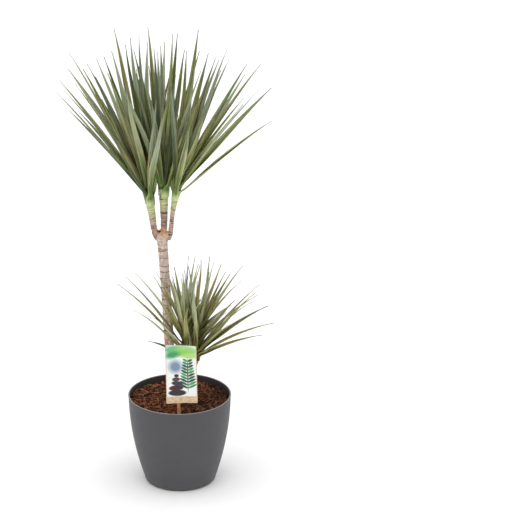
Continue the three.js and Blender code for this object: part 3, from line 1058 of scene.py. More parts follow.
@dataclass
class SoilBed:
    """The bed of bark and coir, with loose crumbs, flakes and fibres lying on it."""

    planter: Planter
    level: float = 183.0
    mound: float = 4.0
    unevenness: Layers = ((2.0, 17.0, 1), (1.5, 7.0, 2), (1.0, 3.2, 3))
    heap: float = 4.0
    heap_reach: float = 6.0
    foot: float = 4.3
    gap: float = 0.3
    edge_drop: float = 4.0
    middle_share: float = 0.02
    rings: int = 64
    wall_rings: int = 12
    sides: int = 180
    crumbs: Loose = Loose("soil_crumbs", MIX, 1500, 2.5)
    flakes: Loose = Loose("soil_flakes", MIX, 1150, 9.5, smooth=False)
    fibres: Loose = Loose("soil_fibres", COIR, 800, 9.0)
    crumb_size: tuple[float, float] = (1.2, 3.8)
    flake_length: tuple[float, float] = (6.0, 20.0)
    flake_width: tuple[float, float] = (2.2, 6.5)
    flake_thickness: tuple[float, float] = (0.8, 2.4)
    flake_bend: float = 0.012
    flake_tilt: float = 0.55
    fibre_length: tuple[float, float] = (10.0, 38.0)
    fibre_radius: tuple[float, float] = (0.25, 0.55)
    fibre_curl: float = 0.09
    fibre_points: int = 12
    fibre_clear: float = 2.0
    dark_share: float = 2.8
    seed: int = 11
    stems: tuple[tuple[float, float, float], ...] = ((-15.5, 12.0, 11.0), (21.0, -8.0, 11.5))

    def inner(self, level: float) -> float:
        """Gives the planter's inner radius at a height."""
        return self.planter.outer(level) - self.planter.wall

    def surface(self, x: np.ndarray, y: np.ndarray) -> np.ndarray:
        """Gives the bed's height: a low uneven mound, heaped round the canes.

        Args:
            x: Places seen from above, to the right.
            y: The same places, to the back.

        Returns:
            A height for each place.
        """
        reach = np.hypot(x, y) / self.inner(self.level)
        flat = np.stack([x, y, np.zeros_like(x)], axis=-1)
        rise = self.mound * (1 - eased(reach, 0.35, 1.0))
        rough = uneven(flat, self.unevenness)
        heaped = sum(
            self.heap * bell(np.hypot(x - stem_x, y - stem_y) - radius, self.heap_reach)
            for stem_x, stem_y, radius in self.stems
        )
        return self.level - 1.0 + rise + rough * (1 - eased(reach, 0.9, 1.0) * 0.5) + heaped

    def bed(self) -> bpy.types.Object:
        """Makes the closed bed with its uneven top.

        Returns:
            The piece.
        """
        rings = [
            level_ring(self.inner(height) - self.gap, height, self.sides)
            for height in np.linspace(self.foot, self.level - self.edge_drop, self.wall_rings)
        ]
        rings.insert(0, rings[0] * np.array([self.middle_share, self.middle_share, 1.0]))
        for share in np.linspace(1.0, self.middle_share, self.rings):
            ring = level_ring((self.inner(self.level) - self.gap) * share, 0.0, self.sides)
            ring[:, 2] = self.surface(ring[:, 0], ring[:, 1])
            rings.append(ring)
        skin = Skin()
        skin.add_loft(np.array(rings), tone=0.1 + 0.1 * lumps(np.vstack(rings), 9.0, 5))
        return skin.made("soil_bed", MIX.material())

    def spots(self, count: int, random: Random, clear: float) -> np.ndarray:
        """Picks places on the bed that miss the canes.

        Args:
            count: How many places to draw before the misses are taken out.
            random: The source of places.
            clear: How far the places keep from the wall and the canes.

        Returns:
            Places as x, y and z.
        """
        reach = (self.inner(self.level) - clear) * np.sqrt(random.random(count))
        turn = random.random(count) * FULL_TURN
        x, y = reach * np.cos(turn), reach * np.sin(turn)
        free = np.ones(count, bool)
        for stem_x, stem_y, radius in self.stems:
            free &= np.hypot(x - stem_x, y - stem_y) > radius + clear * 0.4
        x, y = x[free], y[free]
        return np.column_stack([x, y, self.surface(x, y)])

    def tone(self, random: Random, spot: np.ndarray) -> float:
        """Draws a piece's tone: mostly dark, darker still in damp patches and on the right side.

        Args:
            random: The source of the tone.
            spot: The piece's place.

        Returns:
            A tone from 0, dark, to 1, light.
        """
        dry = 1.15 + 0.7 * float(lumps(spot[None] * [1, 1, 0], 15.0, 6)[0])
        bright = 0.9 - 0.3 * spot[0] / self.planter.rim_radius
        return float(np.clip(random.random() ** self.dark_share * dry * bright, 0, 1))

    def crumb(self, random: Random, spot: np.ndarray) -> tuple[np.ndarray, Faces]:
        """Shapes a rounded crumb of bark.

        Args:
            random: The source of its shape.
            spot: Its place.

        Returns:
            Its points and faces.
        """
        lifts = np.radians((-60, -20, 20, 60))
        ball = np.vstack([level_ring(math.cos(lift), math.sin(lift), 6) for lift in lifts])
        size = random.uniform(*self.crumb_size)
        size = size * np.array([1, random.uniform(0.6, 1), random.uniform(0.5, 0.9)])
        lump = ball * (1 + random.uniform(-0.28, 0.28, (len(ball), 1))) * size
        turn = tilted(*random.uniform(0, FULL_TURN, 3))
        return lump @ turn + spot + [0, 0, size[2] * 0.3], loft_faces(len(lifts), 6)

    def flake(self, random: Random, spot: np.ndarray) -> tuple[np.ndarray, Faces]:
        """Shapes a thin sliver of bark that lies nearly flat.

        Args:
            random: The source of its shape.
            spot: Its place.

        Returns:
            Its points and faces.
        """
        length, width = random.uniform(*self.flake_length), random.uniform(*self.flake_width)
        thick = random.uniform(*self.flake_thickness)
        outline = [(-0.5, -0.2), (-0.2, -0.5), (0.35, -0.42), (0.5, 0.1), (0.25, 0.5), (-0.3, 0.42)]
        shape = np.array(outline) * [length, width] * random.uniform(0.75, 1.15, (6, 2))
        bottom = np.column_stack([shape, np.full(6, -thick / 2)])
        top = np.column_stack([shape * 0.86, np.full(6, thick / 2)])
        bent = np.vstack([bottom, top])
        bent[:, 2] += self.flake_bend * random.uniform(-1, 1) * bent[:, 0] ** 2
        tilt = random.uniform(-self.flake_tilt, self.flake_tilt, 2)
        turned = bent @ tilted(*tilt, random.uniform(0, FULL_TURN))
        return turned + spot + [0, 0, thick * 0.6 + 0.6], loft_faces(2, 6)

    def fibre(self, random: Random, spot: np.ndarray) -> tuple[np.ndarray, Faces]:
        """Shapes a curled coir fibre that stays inside the wall.

        Args:
            random: The source of its shape.
            spot: The place of its middle.

        Returns:
            Its points and faces.
        """
        length, radius = random.uniform(*self.fibre_length), random.uniform(*self.fibre_radius)
        heading, curl = random.uniform(0, FULL_TURN), random.uniform(-self.fibre_curl, self.fibre_curl)
        way = np.linspace(-0.5, 0.5, self.fibre_points) * length
        angle, step = heading + curl * way, np.gradient(way)
        x = spot[0] + np.cumsum(np.cos(angle) * step) - np.cos(heading) * length / 2
        y = spot[1] + np.cumsum(np.sin(angle) * step) - np.sin(heading) * length / 2
        fit = np.minimum((self.inner(self.level) - self.fibre_clear) / np.maximum(np.hypot(x, y), 1e-6), 1)
        x, y = x * fit, y * fit
        arch = np.sin(np.linspace(0, math.pi, self.fibre_points))
        lift = random.uniform(0.8, 2.8) + random.uniform(0, 2.4) * arch
        line = np.column_stack([x, y, self.surface(x, y) + lift])
        rings = tube_rings(line, np.full(self.fibre_points, radius), circle(6))
        return rings.reshape(-1, 3), loft_faces(self.fibre_points, 6)

    def scattered(self, loose: Loose, shape: Shape, random: Random) -> bpy.types.Object:
        """Scatters one kind of loose piece over the bed.

        Args:
            loose: The kind.
            shape: What shapes each of them.
            random: The source of places, shapes and tones.

        Returns:
            All of them as one piece.
        """
        skin = Skin()
        for spot in self.spots(loose.count, random, loose.clear):
            skin.add(*shape(random, spot), tone=self.tone(random, spot))
        return skin.made(loose.name, loose.finish.material(), loose.smooth)

    def build(self) -> list[bpy.types.Object]:
        """Makes the bed and what lies on it.

        Returns:
            The bed and one piece for each kind of loose piece.
        """
        random = np.random.default_rng(self.seed)
        bed = placed(self.bed(), Slot.SOIL, "soil")
        kinds = ((self.crumbs, self.crumb), (self.flakes, self.flake), (self.fibres, self.fibre))
        return [bed, *(placed(self.scattered(loose, shape, random), Slot.SOIL) for loose, shape in kinds)]


# ---------------------------------------------------------------- canes

Station = tuple[float, float, float, float]


@dataclass(frozen=True)
class Stem:
    """A round stem: its middle line with the radius at each point. A shoot's last stretch bears leaves."""

    stations: tuple[Station, ...]
    step: float = 1.5
    softening: int = 5

    def line(self) -> tuple[np.ndarray, np.ndarray]:
        """Gives close points up the middle, with softened bends.

        Returns:
            The points, and the radius at each.
        """
        given = np.array(self.stations)
        ways = distances(given[:, :3])
        wanted = np.linspace(0, ways[-1], int(ways[-1] / self.step) + 2)
        full = softened(resampled(given, ways, wanted), self.softening)
        return full[:, :3], full[:, 3]

    def end(self, way: float) -> tuple[np.ndarray, np.ndarray, float, float]:
        """Finds a place on the leafy end.

        Args:
            way: How far up the leafy end it is.

        Returns:
            The place, the end's direction, the radius there and the end's whole length.
        """
        low, high = np.array(self.stations[-2]), np.array(self.stations[-1])
        rise = high[:3] - low[:3]
        reach = float(np.linalg.norm(rise))
        share = way / reach
        return low[:3] + rise * share, rise / reach, low[3] + (high[3] - low[3]) * share, reach


TALL_TRUNK = Stem((
    (-14, 12, 123, 11), (-15.5, 12, 190, 11), (-20, 12, 290, 10.4), (-25, 12, 390, 10.2),
    (-30.5, 12, 495, 10.3), (-33, 12, 536, 10.8), (-33.3, 12, 549, 12.8), (-33, 13, 558, 14.5),
    (-33.5, 11, 562, 12), (-34, 9.5, 565.5, 7.5),
))
TALL_LEFT = Stem((
    (-42, 11, 548, 6.6), (-47.5, 10, 560, 6.8), (-51, 10, 575, 6.6), (-53.5, 10, 598, 7.3),
    (-57, 10, 620, 8.8), (-69, 10, 694, 3.6),
))
TALL_MIDDLE = Stem((
    (-30, 20, 545, 7), (-29.5, 22, 563, 6.8), (-29, 21, 590, 7.2), (-29.4, 20, 612, 8.2),
    (-29.2, 20, 637, 9.8), (-29, 18, 711, 3.6),
))
TALL_RIGHT = Stem((
    (-21, 11, 547, 5.4), (-16, 10, 560, 5.2), (-14, 10, 578, 4.7), (-11.5, 10, 603, 4.8),
    (-7, 9, 632, 6.4), (4, 7, 706, 3.4),
))
SHORT_TRUNK = Stem((
    (21, -8, 123, 11.5), (21, -8, 190, 11.5), (21, -8, 228, 11), (21, -8, 240, 13.5), (21, -8, 247, 14),
    (21, -8.5, 250.5, 11), (21, -9, 253, 6.5),
))
SHORT_LEFT = Stem((
    (15, -10, 236, 6.5), (12, -12, 252, 6.8), (12.5, -12, 268, 6.8), (13, -12, 282, 6.8), (12, -13, 342, 3.2),
))
SHORT_RIGHT = Stem((
    (24, -8, 234, 6.5), (26.5, -8, 248, 6.4), (30, -8, 262, 6.2), (35.5, -8, 275, 6.2), (39.5, -9, 334, 3.2),
))


@dataclass(frozen=True)
class Crease:
    """How dark and how wide a scar ring's crease is."""

    strength: float
    width: float


BOLD = Crease(0.95, 0.8)
FAINT = Crease(0.35, 0.55)


@dataclass(frozen=True)
class Relief:
    """How a scar ring stands in the bark: the depth of its crease, and the ridge just below it."""

    depth: float
    ridge: float
    ridge_drop: float
    ridge_width: float

    def rise(self, off: np.ndarray, strength: np.ndarray, crease: np.ndarray) -> np.ndarray:
        """Gives how far the bark rises at places off the crease's middle."""
        return self.ridge * bell(off + self.ridge_drop, self.ridge_width) * strength - self.depth * crease


SCAR_RELIEF = Relief(depth=0.55, ridge=0.4, ridge_drop=1.4, ridge_width=0.9)
DARK_RING_RELIEF = Relief(depth=0.8, ridge=0.35, ridge_drop=1.8, ridge_width=1.1)


@dataclass(frozen=True)
class Scars:
    """How close the leaf scars ring a stem, what share of them is bold, and how strong they all are."""

    pitch: float
    bold_share: float
    strength: float
    spacing: tuple[float, float] = (0.65, 1.4)
    slant: float = 0.9


TRUNK_SCARS = Scars(9.0, 0.3, 1.0)
SHOOT_SCARS = Scars(3.2, 0.65, 1.2)


@dataclass
class BarkSkin:
    """The points of a cane's skin: where they lie on its stems, and the scars pressed and painted there."""

    points: np.ndarray
    stem_of: np.ndarray
    ways: np.ndarray
    left: np.ndarray
    outward: np.ndarray
    turn: np.ndarray = field(init=False)
    ring: np.ndarray = field(init=False)
    relief: np.ndarray = field(init=False)

    def __post_init__(self) -> None:
        """Finds the angle about the stem and starts with smooth bark."""
        self.turn = np.arctan2(self.outward[:, 1], self.outward[:, 0])
        self.ring = np.zeros(len(self.points))
        self.relief = np.zeros(len(self.points))


@dataclass
class Cane:
    """A rooted cane whose cut top has grown leafy shoots, melted into one skin of ringed bark."""

    name: str
    trunk: Stem
    shoots: tuple[Stem, ...]
    cut_level: float
    green_length: float
    seed: int
    bold_levels: tuple[float, ...] = ()
    notch: tuple[float, float, float] = (0.0, 0.0, 0.0)
    notch_size: float = 3.2
    notch_depth: float = 1.5
    cut_band: tuple[float, float] = (3.5, 0.5)
    stain_band: tuple[float, float] = (0.62, 0.84)
    rough: Layers = ((0.4, 5.0, 31), (0.25, 2.0, 32))
    torn: Layers = ((1.0, 4.0, 33), (0.5, 1.8, 34))
    voxel: float = 0.85
    sides: int = 32
    most_rings: int = 200
    block: int = 4000

    def melted(self) -> tuple[np.ndarray, Faces]:
        """Joins the stems into one even skin.

        Returns:
            Its points in millimetres, and its faces.
        """
        skin = Skin()
        for stem in (self.trunk, *self.shoots):
            line, radii = stem.line()
            skin.add_loft(tube_rings(line, radii, circle(self.sides)))
        rough = skin.made(f"{self.name}_rough", BARK.material())
        remesh = rough.modifiers.new("melt", "REMESH")
        remesh.mode = "VOXEL"
        remesh.voxel_size = self.voxel * MM
        soften = rough.modifiers.new("soften", "SMOOTH")
        soften.factor = 0.5
        soften.iterations = 5
        graph = bpy.context.evaluated_depsgraph_get()
        mesh = bpy.data.meshes.new_from_object(rough.evaluated_get(graph))
        points = np.zeros(len(mesh.vertices) * 3)
        mesh.vertices.foreach_get("co", points)
        faces = [tuple(face.vertices) for face in mesh.polygons]
        bpy.data.objects.remove(rough)
        bpy.data.meshes.remove(mesh)
        return points.reshape(-1, 3) / MM, faces

    def located(self, points: np.ndarray) -> BarkSkin:
        """Finds where along which stem each point of the skin lies.

        Args:
            points: Points of the skin.

        Returns:
            The points with their stem's number, the ways to its foot and its end, and the way outward.
        """
        rows = []
        for number, stem in enumerate((self.trunk, *self.shoots)):
            line, radii = stem.line()
            way = distances(line)
            rows.append(np.column_stack([line, radii, np.full(len(line), number), way, way[-1] - way]))
        rows = np.vstack(rows)
        best = np.zeros(len(points), int)
        for start in range(0, len(points), self.block):
            part = slice(start, start + self.block)
            apart = np.linalg.norm(points[part, None] - rows[None, :, :3], axis=2)
            best[part] = (apart / rows[:, 3]).argmin(axis=1)
        outward = points - rows[best, :3]
        outward[:, 2] *= 0.2
        stem_of, ways, left = rows[best, 4:].T
        return BarkSkin(points, stem_of, ways, left, unit(outward))

    def press_scars(self, bark: BarkSkin, number: int, random: Random) -> None:
        """Presses the leaf scars into one stem.

        Args:
            bark: The skin.
            number: The stem's number, with 0 for the trunk.
            random: The source of the rings.
        """
        scars = SHOOT_SCARS if number else TRUNK_SCARS
        mine = bark.stem_of == number
        lines = np.cumsum(random.uniform(*scars.spacing, self.most_rings)) * scars.pitch
        bold = random.random(self.most_rings) < scars.bold_share
        slant = random.uniform(-scars.slant, scars.slant, self.most_rings)
        phase = random.uniform(0, FULL_TURN, self.most_rings)
        turn, way = bark.turn[mine], bark.ways[mine] + 0.5 * lumps(bark.points[mine], 6.0, 20 + number)
        index = np.clip(np.searchsorted(lines, way), 1, self.most_rings - 1)
        for near in (index - 1, index):
            off = way - lines[near] - slant[near] * np.sin(turn + phase[near])
            strength = np.where(bold[near], BOLD.strength, FAINT.strength) * scars.strength
            strength = strength * np.clip(0.85 + 0.6 * np.sin(turn + 5 * phase[near]), 0, 1)
            crease = bell(off, np.where(bold[near], BOLD.width, FAINT.width)) * strength
            bark.ring[mine] = np.maximum(bark.ring[mine], crease)
            bark.relief[mine] += SCAR_RELIEF.rise(off, strength, crease)

    def press_bold_ring(self, bark: BarkSkin, level: float, random: Random) -> None:
        """Presses one of the trunk's dark rings.

        Args:
            bark: The skin.
            level: The ring's height.
            random: The source of its strength and width.
        """
        trunk = bark.stem_of == 0
        off = bark.points[:, 2] - level - 1.4 * np.sin(bark.turn + level) - 0.6 * lumps(bark.points, 5.0, 25)
        strength = random.uniform(0.75, 1.1) * (0.85 + 0.3 * lumps(bark.points, 6.0, 26))
        crease = bell(off, random.uniform(0.8, 1.2)) * trunk * strength
        bark.ring = np.maximum(bark.ring, crease)
        bark.relief += DARK_RING_RELIEF.rise(off, trunk, crease)

    def build(self) -> list[bpy.types.Object]:
        """Makes the skin, presses the scar rings into it and paints its bands.

        Returns:
            The cane's one piece.
        """
        points, faces = self.melted()
        bark = self.located(points)
        random = np.random.default_rng(self.seed)
        green = np.zeros(len(points))
        for number, stem in enumerate((self.trunk, *self.shoots)):
            self.press_scars(bark, number, random)
            if number:
                mine = bark.stem_of == number
                below = bark.left[mine] - stem.end(0.0)[3]
                green[mine] = 1 - eased(below, self.green_length * 0.3, self.green_length)
        for level in self.bold_levels:
            self.press_bold_ring(bark, level, random)
        trunk, height = bark.stem_of == 0, points[:, 2]
        above = eased(height, self.cut_level - self.cut_band[0], self.cut_level - self.cut_band[1]) * trunk
        # The notch is a real dent at the crotch, also painted dark as shade.
        dent_and_shade = bell(np.linalg.norm(points - np.array(self.notch), axis=1), self.notch_size)
        rough = uneven(points, self.rough) * (1 - 0.6 * green) + uneven(points, self.torn) * above
        shift = bark.relief * (1 - above) + rough - self.notch_depth * dent_and_shade
        low = 1 - eased(height / self.cut_level, *self.stain_band)
        stained = lumps(points * [1, 1, 0.6], 9.0, 35) + 0.4 * lumps(points, 3.0, 36) + 0.6 * low
        skin = Skin()
        skin.add(
            points + bark.outward * shift[:, None], faces,
            ring=np.clip(bark.ring * (1 - above), 0, 1), green=green, cut=above,
            notch=np.clip(dent_and_shade * 1.4, 0, 1), stain=np.where(trunk, eased(stained, 0.4, 0.9), 0.5),
        )
        return [placed(skin.made(f"{self.name}_bark", BARK.material()), Slot.BARK, self.name)]


CANES = (
    Cane(
        "tall_cane", TALL_TRUNK, (TALL_LEFT, TALL_MIDDLE, TALL_RIGHT), cut_level=559.0, green_length=34.0,
        seed=31, bold_levels=(523.5, 506.0, 490.0, 474.5, 461.0, 441.0, 402.0, 379.0, 341.0),
        notch=(-40.5, 9.0, 567.0), notch_size=4.2,
    ),
    Cane("short_cane", SHORT_TRUNK, (SHORT_LEFT, SHORT_RIGHT), cut_level=248.0, green_length=10.0, seed=32),
)


# ---------------------------------------------------------------- leaves

Tip = tuple[float, float, float]


@dataclass(frozen=True)
class Fill:
    """The leaves that stand among the listed ones: leans in degrees to the right and to the back."""

    count: int
    lean: tuple[float, float]
    spread: tuple[float, float]
    length: float
    youth_steps: int = 3
    youth_share: float = 0.13

    def tips(self, start: np.ndarray) -> list[np.ndarray]:
        """Spreads their tips evenly by the golden angle.

        Args:
            start: The middle of the shoot's leafy end.

        Returns:
            The tips.
        """
        made = []
        for i in range(self.count):
            reach, turn = math.sqrt((i + 0.5) / self.count), i * GOLDEN_ANGLE
            right = math.radians(self.lean[0] + self.spread[0] * reach * math.cos(turn))
            back = math.radians(self.lean[1] + self.spread[1] * reach * math.sin(turn))
            way = unit(np.array([math.tan(right), math.tan(back), 1.0]))
            made.append(start + way * self.length * (1 - self.youth_share * (i % self.youth_steps)))
        return made


@dataclass(frozen=True)
class Blade:
    """How a leaf of a head is shaped, in millimetres, shares and degrees."""

    width: float
    arch: float
    neck: float = 0.55
    widest: float = 0.35
    taper: float = 1.75
    tip: float = 0.12
    tip_clear: float = 1.2
    fold: float = 0.34
    fold_round: float = 0.9
    thickness: float = 0.6
    edge_thinning: float = 0.72
    twist_span: tuple[float, float] = (0.03, 0.5)
    sway_waves: float = 5.0
    flare: tuple[float, float] = (24.0, 33.0)
    upright_arch: float = 0.3
    start_pull: float = 0.13
    end_pull: float = 0.3
    facing: float = 32.0
    sheath: float = 20.0
    sheath_lean: float = 6.0
    clasp_start: float = 12.0
    clasp_end: float = 40.0
    clasp_turn: float = 66.0
    half_points: int = 8
    stations: int = 34

    def half_width(self, share: np.ndarray) -> np.ndarray:
        """Gives half the blade's width along its length.

        Args:
            share: Shares of the length.

        Returns:
            A half width for each.
        """
        rising = self.neck + (1 - self.neck) * eased(share, 0, self.widest)
        falling = 1 - (np.clip(share - self.widest, 0, 1) / (1 - self.widest)) ** self.taper
        return self.width / 2 * np.where(share < self.widest, rising, np.maximum(falling, self.tip))

    def shares(self) -> np.ndarray:
        """Gives the places along a leaf that get a ring of points, closer together at its two ends."""
        return np.unique(np.concatenate([np.linspace(0, 1, self.stations), np.linspace(0, 0.2, 16), [0.985]]))


@dataclass(frozen=True)
class Traits:
    """What sets one leaf apart from the next."""

    breadth: float
    twist: float
    sway: float
    phase: float
    tone: float

    @classmethod
    def drawn(cls, random: Random) -> "Traits":
        """Draws a leaf's traits."""
        return cls(
            breadth=random.uniform(0.84, 1.06),
            twist=math.radians(random.normal(0, 16)),
            sway=random.normal(0, 2.2),
            phase=random.uniform(0, FULL_TURN),
            tone=random.random(),
        )


@dataclass
class Leaf:
    """One leaf, from its sheath round the shoot to its needle tip.

    foot is the shoot's middle where the leaf starts, axis the shoot's direction, radius where the sheath
    clasps it and tip where the leaf ends.
    """

    blade: Blade
    foot: np.ndarray
    axis: np.ndarray
    radius: float
    tip: np.ndarray
    traits: Traits

    def spine(
        self, base: np.ndarray, outward: np.ndarray, share: np.ndarray
    ) -> tuple[np.ndarray, np.ndarray]:
        """Gives the leaf's middle line: up along the shoot as a sheath, then out and over as a blade.

        Args:
            base: Where the middle line starts.
            outward: The way from the shoot's middle to there.
            share: Shares of the line at which points are wanted.

        Returns:
            Points and unit directions.
        """
        lean = math.radians(self.blade.sheath_lean)
        collar = base + (self.axis * math.cos(lean) + outward * math.sin(lean)) * self.blade.sheath
        free = self.blade_line(collar, outward, np.linspace(0, 1, 60))
        line = softened(np.vstack([np.linspace(base, collar, 8)[:-1], free]), 3)
        way = distances(line)
        at = share * way[-1]
        slopes = np.gradient(line, way, axis=0)
        return resampled(line, way, at), unit(resampled(slopes, way, at))

    def blade_line(self, base: np.ndarray, outward: np.ndarray, share: np.ndarray) -> np.ndarray:
        """Gives the free blade's arching line.

        Args:
            base: Where the blade leaves the sheath.
            outward: The way from the shoot's middle to there.
            share: Shares of the curve at which points are wanted.

        Returns:
            Points.
        """
        blade, axis = self.blade, self.axis
        tip = self.tip - unit(self.tip - base) * blade.tip_clear
        chord = tip - base
        length = np.linalg.norm(chord)
        lean = math.acos(np.clip(chord @ axis / length, -1, 1))
        arch = math.radians(blade.arch) * (blade.upright_arch + lean)
        start_lean = float(np.clip(lean - arch, *np.radians(blade.flare)))
        start_way = axis * math.cos(start_lean) + outward * math.sin(start_lean)
        end_way = axis * math.cos(lean + arch) + outward * math.sin(lean + arch)
        second = base + start_way * length * blade.start_pull
        third = tip - end_way * length * blade.end_pull
        t = share[:, None]
        rest = 1 - t
        return rest ** 3 * base + 3 * rest ** 2 * t * second + 3 * rest * t ** 2 * third + t ** 3 * tip

    def add_to(self, skin: Skin) -> None:
        """Adds the leaf to a mesh: flat rings that morph from a clasping arc to a folded blade.

        Args:
            skin: The mesh.
        """
        blade, traits, radius = self.blade, self.traits, self.radius
        outward = self.tip - self.foot
        outward = unit(outward - self.axis * (outward @ self.axis))
        side = np.cross(self.axis, outward)
        base = self.foot + outward * radius
        share = blade.shares()
        middle, ways = self.spine(base, outward, share)
        along = share * float(np.linalg.norm(self.tip - base))
        keel = np.cross(side, ways)
        wander = traits.sway * np.sin(share * math.pi) * np.sin(share * blade.sway_waves + traits.phase)
        middle = middle + side * wander[:, None]
        facing = -math.radians(blade.facing) * outward[0]
        twist = ((traits.twist + facing) * eased(share, *blade.twist_span))[:, None]
        across_way = side * np.cos(twist) + keel * np.sin(twist)
        keel_way = keel * np.cos(twist) - side * np.sin(twist)
        half = (blade.half_width(share) * traits.breadth)[:, None]
        places = np.linspace(1, -1, blade.half_points + 1)
        aside = np.concatenate([places, places[::-1][1:-1]])
        under = np.concatenate([np.zeros(blade.half_points + 1), np.ones(blade.half_points - 1)])
        clasp = (1 - eased(along, blade.clasp_start, blade.clasp_end))[:, None]
        turn = math.radians(blade.clasp_turn) * aside
        folded = 2 * blade.fold * half * (1 - np.abs(aside) ** blade.fold_round)
        thick = blade.thickness * (1 - blade.edge_thinning * aside ** 2) * np.clip(half / 2, 0.12, 1)
        x = half * aside * (1 - clasp) + radius * np.sin(turn) * clasp
        y = folded * (1 - clasp) + radius * (np.cos(turn) - 1) * clasp + (under - 0.5) * thick
        rings = middle[:, None] + across_way[:, None] * x[..., None] + keel_way[:, None] * y[..., None]
        number, around = rings.shape[:2]
        skin.add_loft(
            rings,
            across=np.tile(aside, number),
            along=np.repeat(along, around),
            share=np.repeat(share, around),
            tone=traits.tone,
        )


@dataclass
class Head:
    """One shoot's head of leaves, from the lowest tier up, and the bud at its end.

    tips are the listed leaves' tips: x and z as seen against the plane through the origin, and the depth.
    basal are the tips, in their real places, of the short leaves that stand before the lowest tier.
    """

    name: str
    stem: Stem
    finish: LeafTissue
    slot: Slot
    tiers: int
    leaves_per_tier: int
    blade: Blade
    tips: tuple[Tip, ...]
    fill: Fill
    seed: int
    basal: tuple[Tip, ...] = ()
    basal_seed_step: int = 100
    pitch: float = 6.5
    gap: float = 0.3
    sheath_wall: float = 1.3
    sheath_sides: int = 8
    bud_radius: float = 3.8
    bud_end: float = 0.3
    bud_height: float = 24.0
    bud_foot: float = 4.0
    bud_rings: int = 14
    bud_sides: int = 16

    def clasp_radius(self, radius: float) -> float:
        """Gives the radius of the middle of the sheath's wall round a shoot."""
        return (radius + self.gap) / math.cos(math.pi / self.sheath_sides) + self.sheath_wall / 2

    def places(self) -> list[np.ndarray]:
        """Finds all the tips of the head.

        Returns:
            The tips, the most leaning first.
        """
        _, axis, _, reach = self.stem.end(0.0)
        middle = self.stem.end(reach / 2)[0]
        every = []
        for seen_x, seen_z, depth in self.tips:
            seen = np.array([seen_x, 0.0, seen_z])
            every.append(VIEW_POINT + (seen - VIEW_POINT) * (depth - VIEW_POINT[1]) / -VIEW_POINT[1])
        every.extend(self.fill.tips(middle))
        return sorted(every, key=lambda tip: -math.acos(unit(tip - middle) @ axis))

    def build(self) -> list[bpy.types.Object]:
        """Makes a piece for each tier and one for the bud.

        Returns:
            The pieces, from the lowest up.
        """
        random = np.random.default_rng(self.seed)
        basal_random = np.random.default_rng(self.seed + self.basal_seed_step)
        tips = self.places()
        pieces = []
        for tier in range(self.tiers):
            point, axis, radius, reach = self.stem.end(tier * self.pitch)
            mine, tips = tips[:self.leaves_per_tier], tips[self.leaves_per_tier:]
            foot, clasp = point + axis * self.pitch / 2, self.clasp_radius(radius)
            skin = Skin()
            for tip in mine:
                Leaf(self.blade, foot, axis, clasp, tip, Traits.drawn(random)).add_to(skin)
            for tip in (self.basal if tier == 0 else ()):
                Leaf(self.blade, foot, axis, radius, np.array(tip), Traits.drawn(basal_random)).add_to(skin)
            piece = skin.made(f"{self.name}_blades_{tier + 1}", self.finish.material())
            pieces.append(placed(piece, self.slot, f"{self.name}_leaves_{tier + 1}"))
        point, axis, _, _ = self.stem.end(reach + self.gap)
        foot = point + axis * self.bud_foot
        skin = Skin()
        for tip in tips:
            Leaf(self.blade, foot, axis, self.bud_radius / 2, tip, Traits.drawn(random)).add_to(skin)
        self.add_spear(skin, point, axis)
        piece = skin.made(f"{self.name}_spear", self.finish.material())
        return [*pieces, placed(piece, self.slot, f"{self.name}_bud")]

    def add_spear(self, skin: Skin, point: np.ndarray, axis: np.ndarray) -> None:
        """Adds the rolled young leaf at the shoot's end.

        Args:
            skin: The mesh that it joins.
            point: Where it starts.
            axis: The shoot's direction.
        """
        share = np.linspace(0, 1, self.bud_rings)
        along = share * self.bud_height
        radii = self.bud_radius * (1 - share ** 1.6) + self.bud_end
        rings = tube_rings(point + axis * along[:, None], radii, circle(self.bud_sides))
        skin.add_loft(rings, across=0.0, along=np.repeat(along, self.bud_sides), share=0.2, tone=0.4)


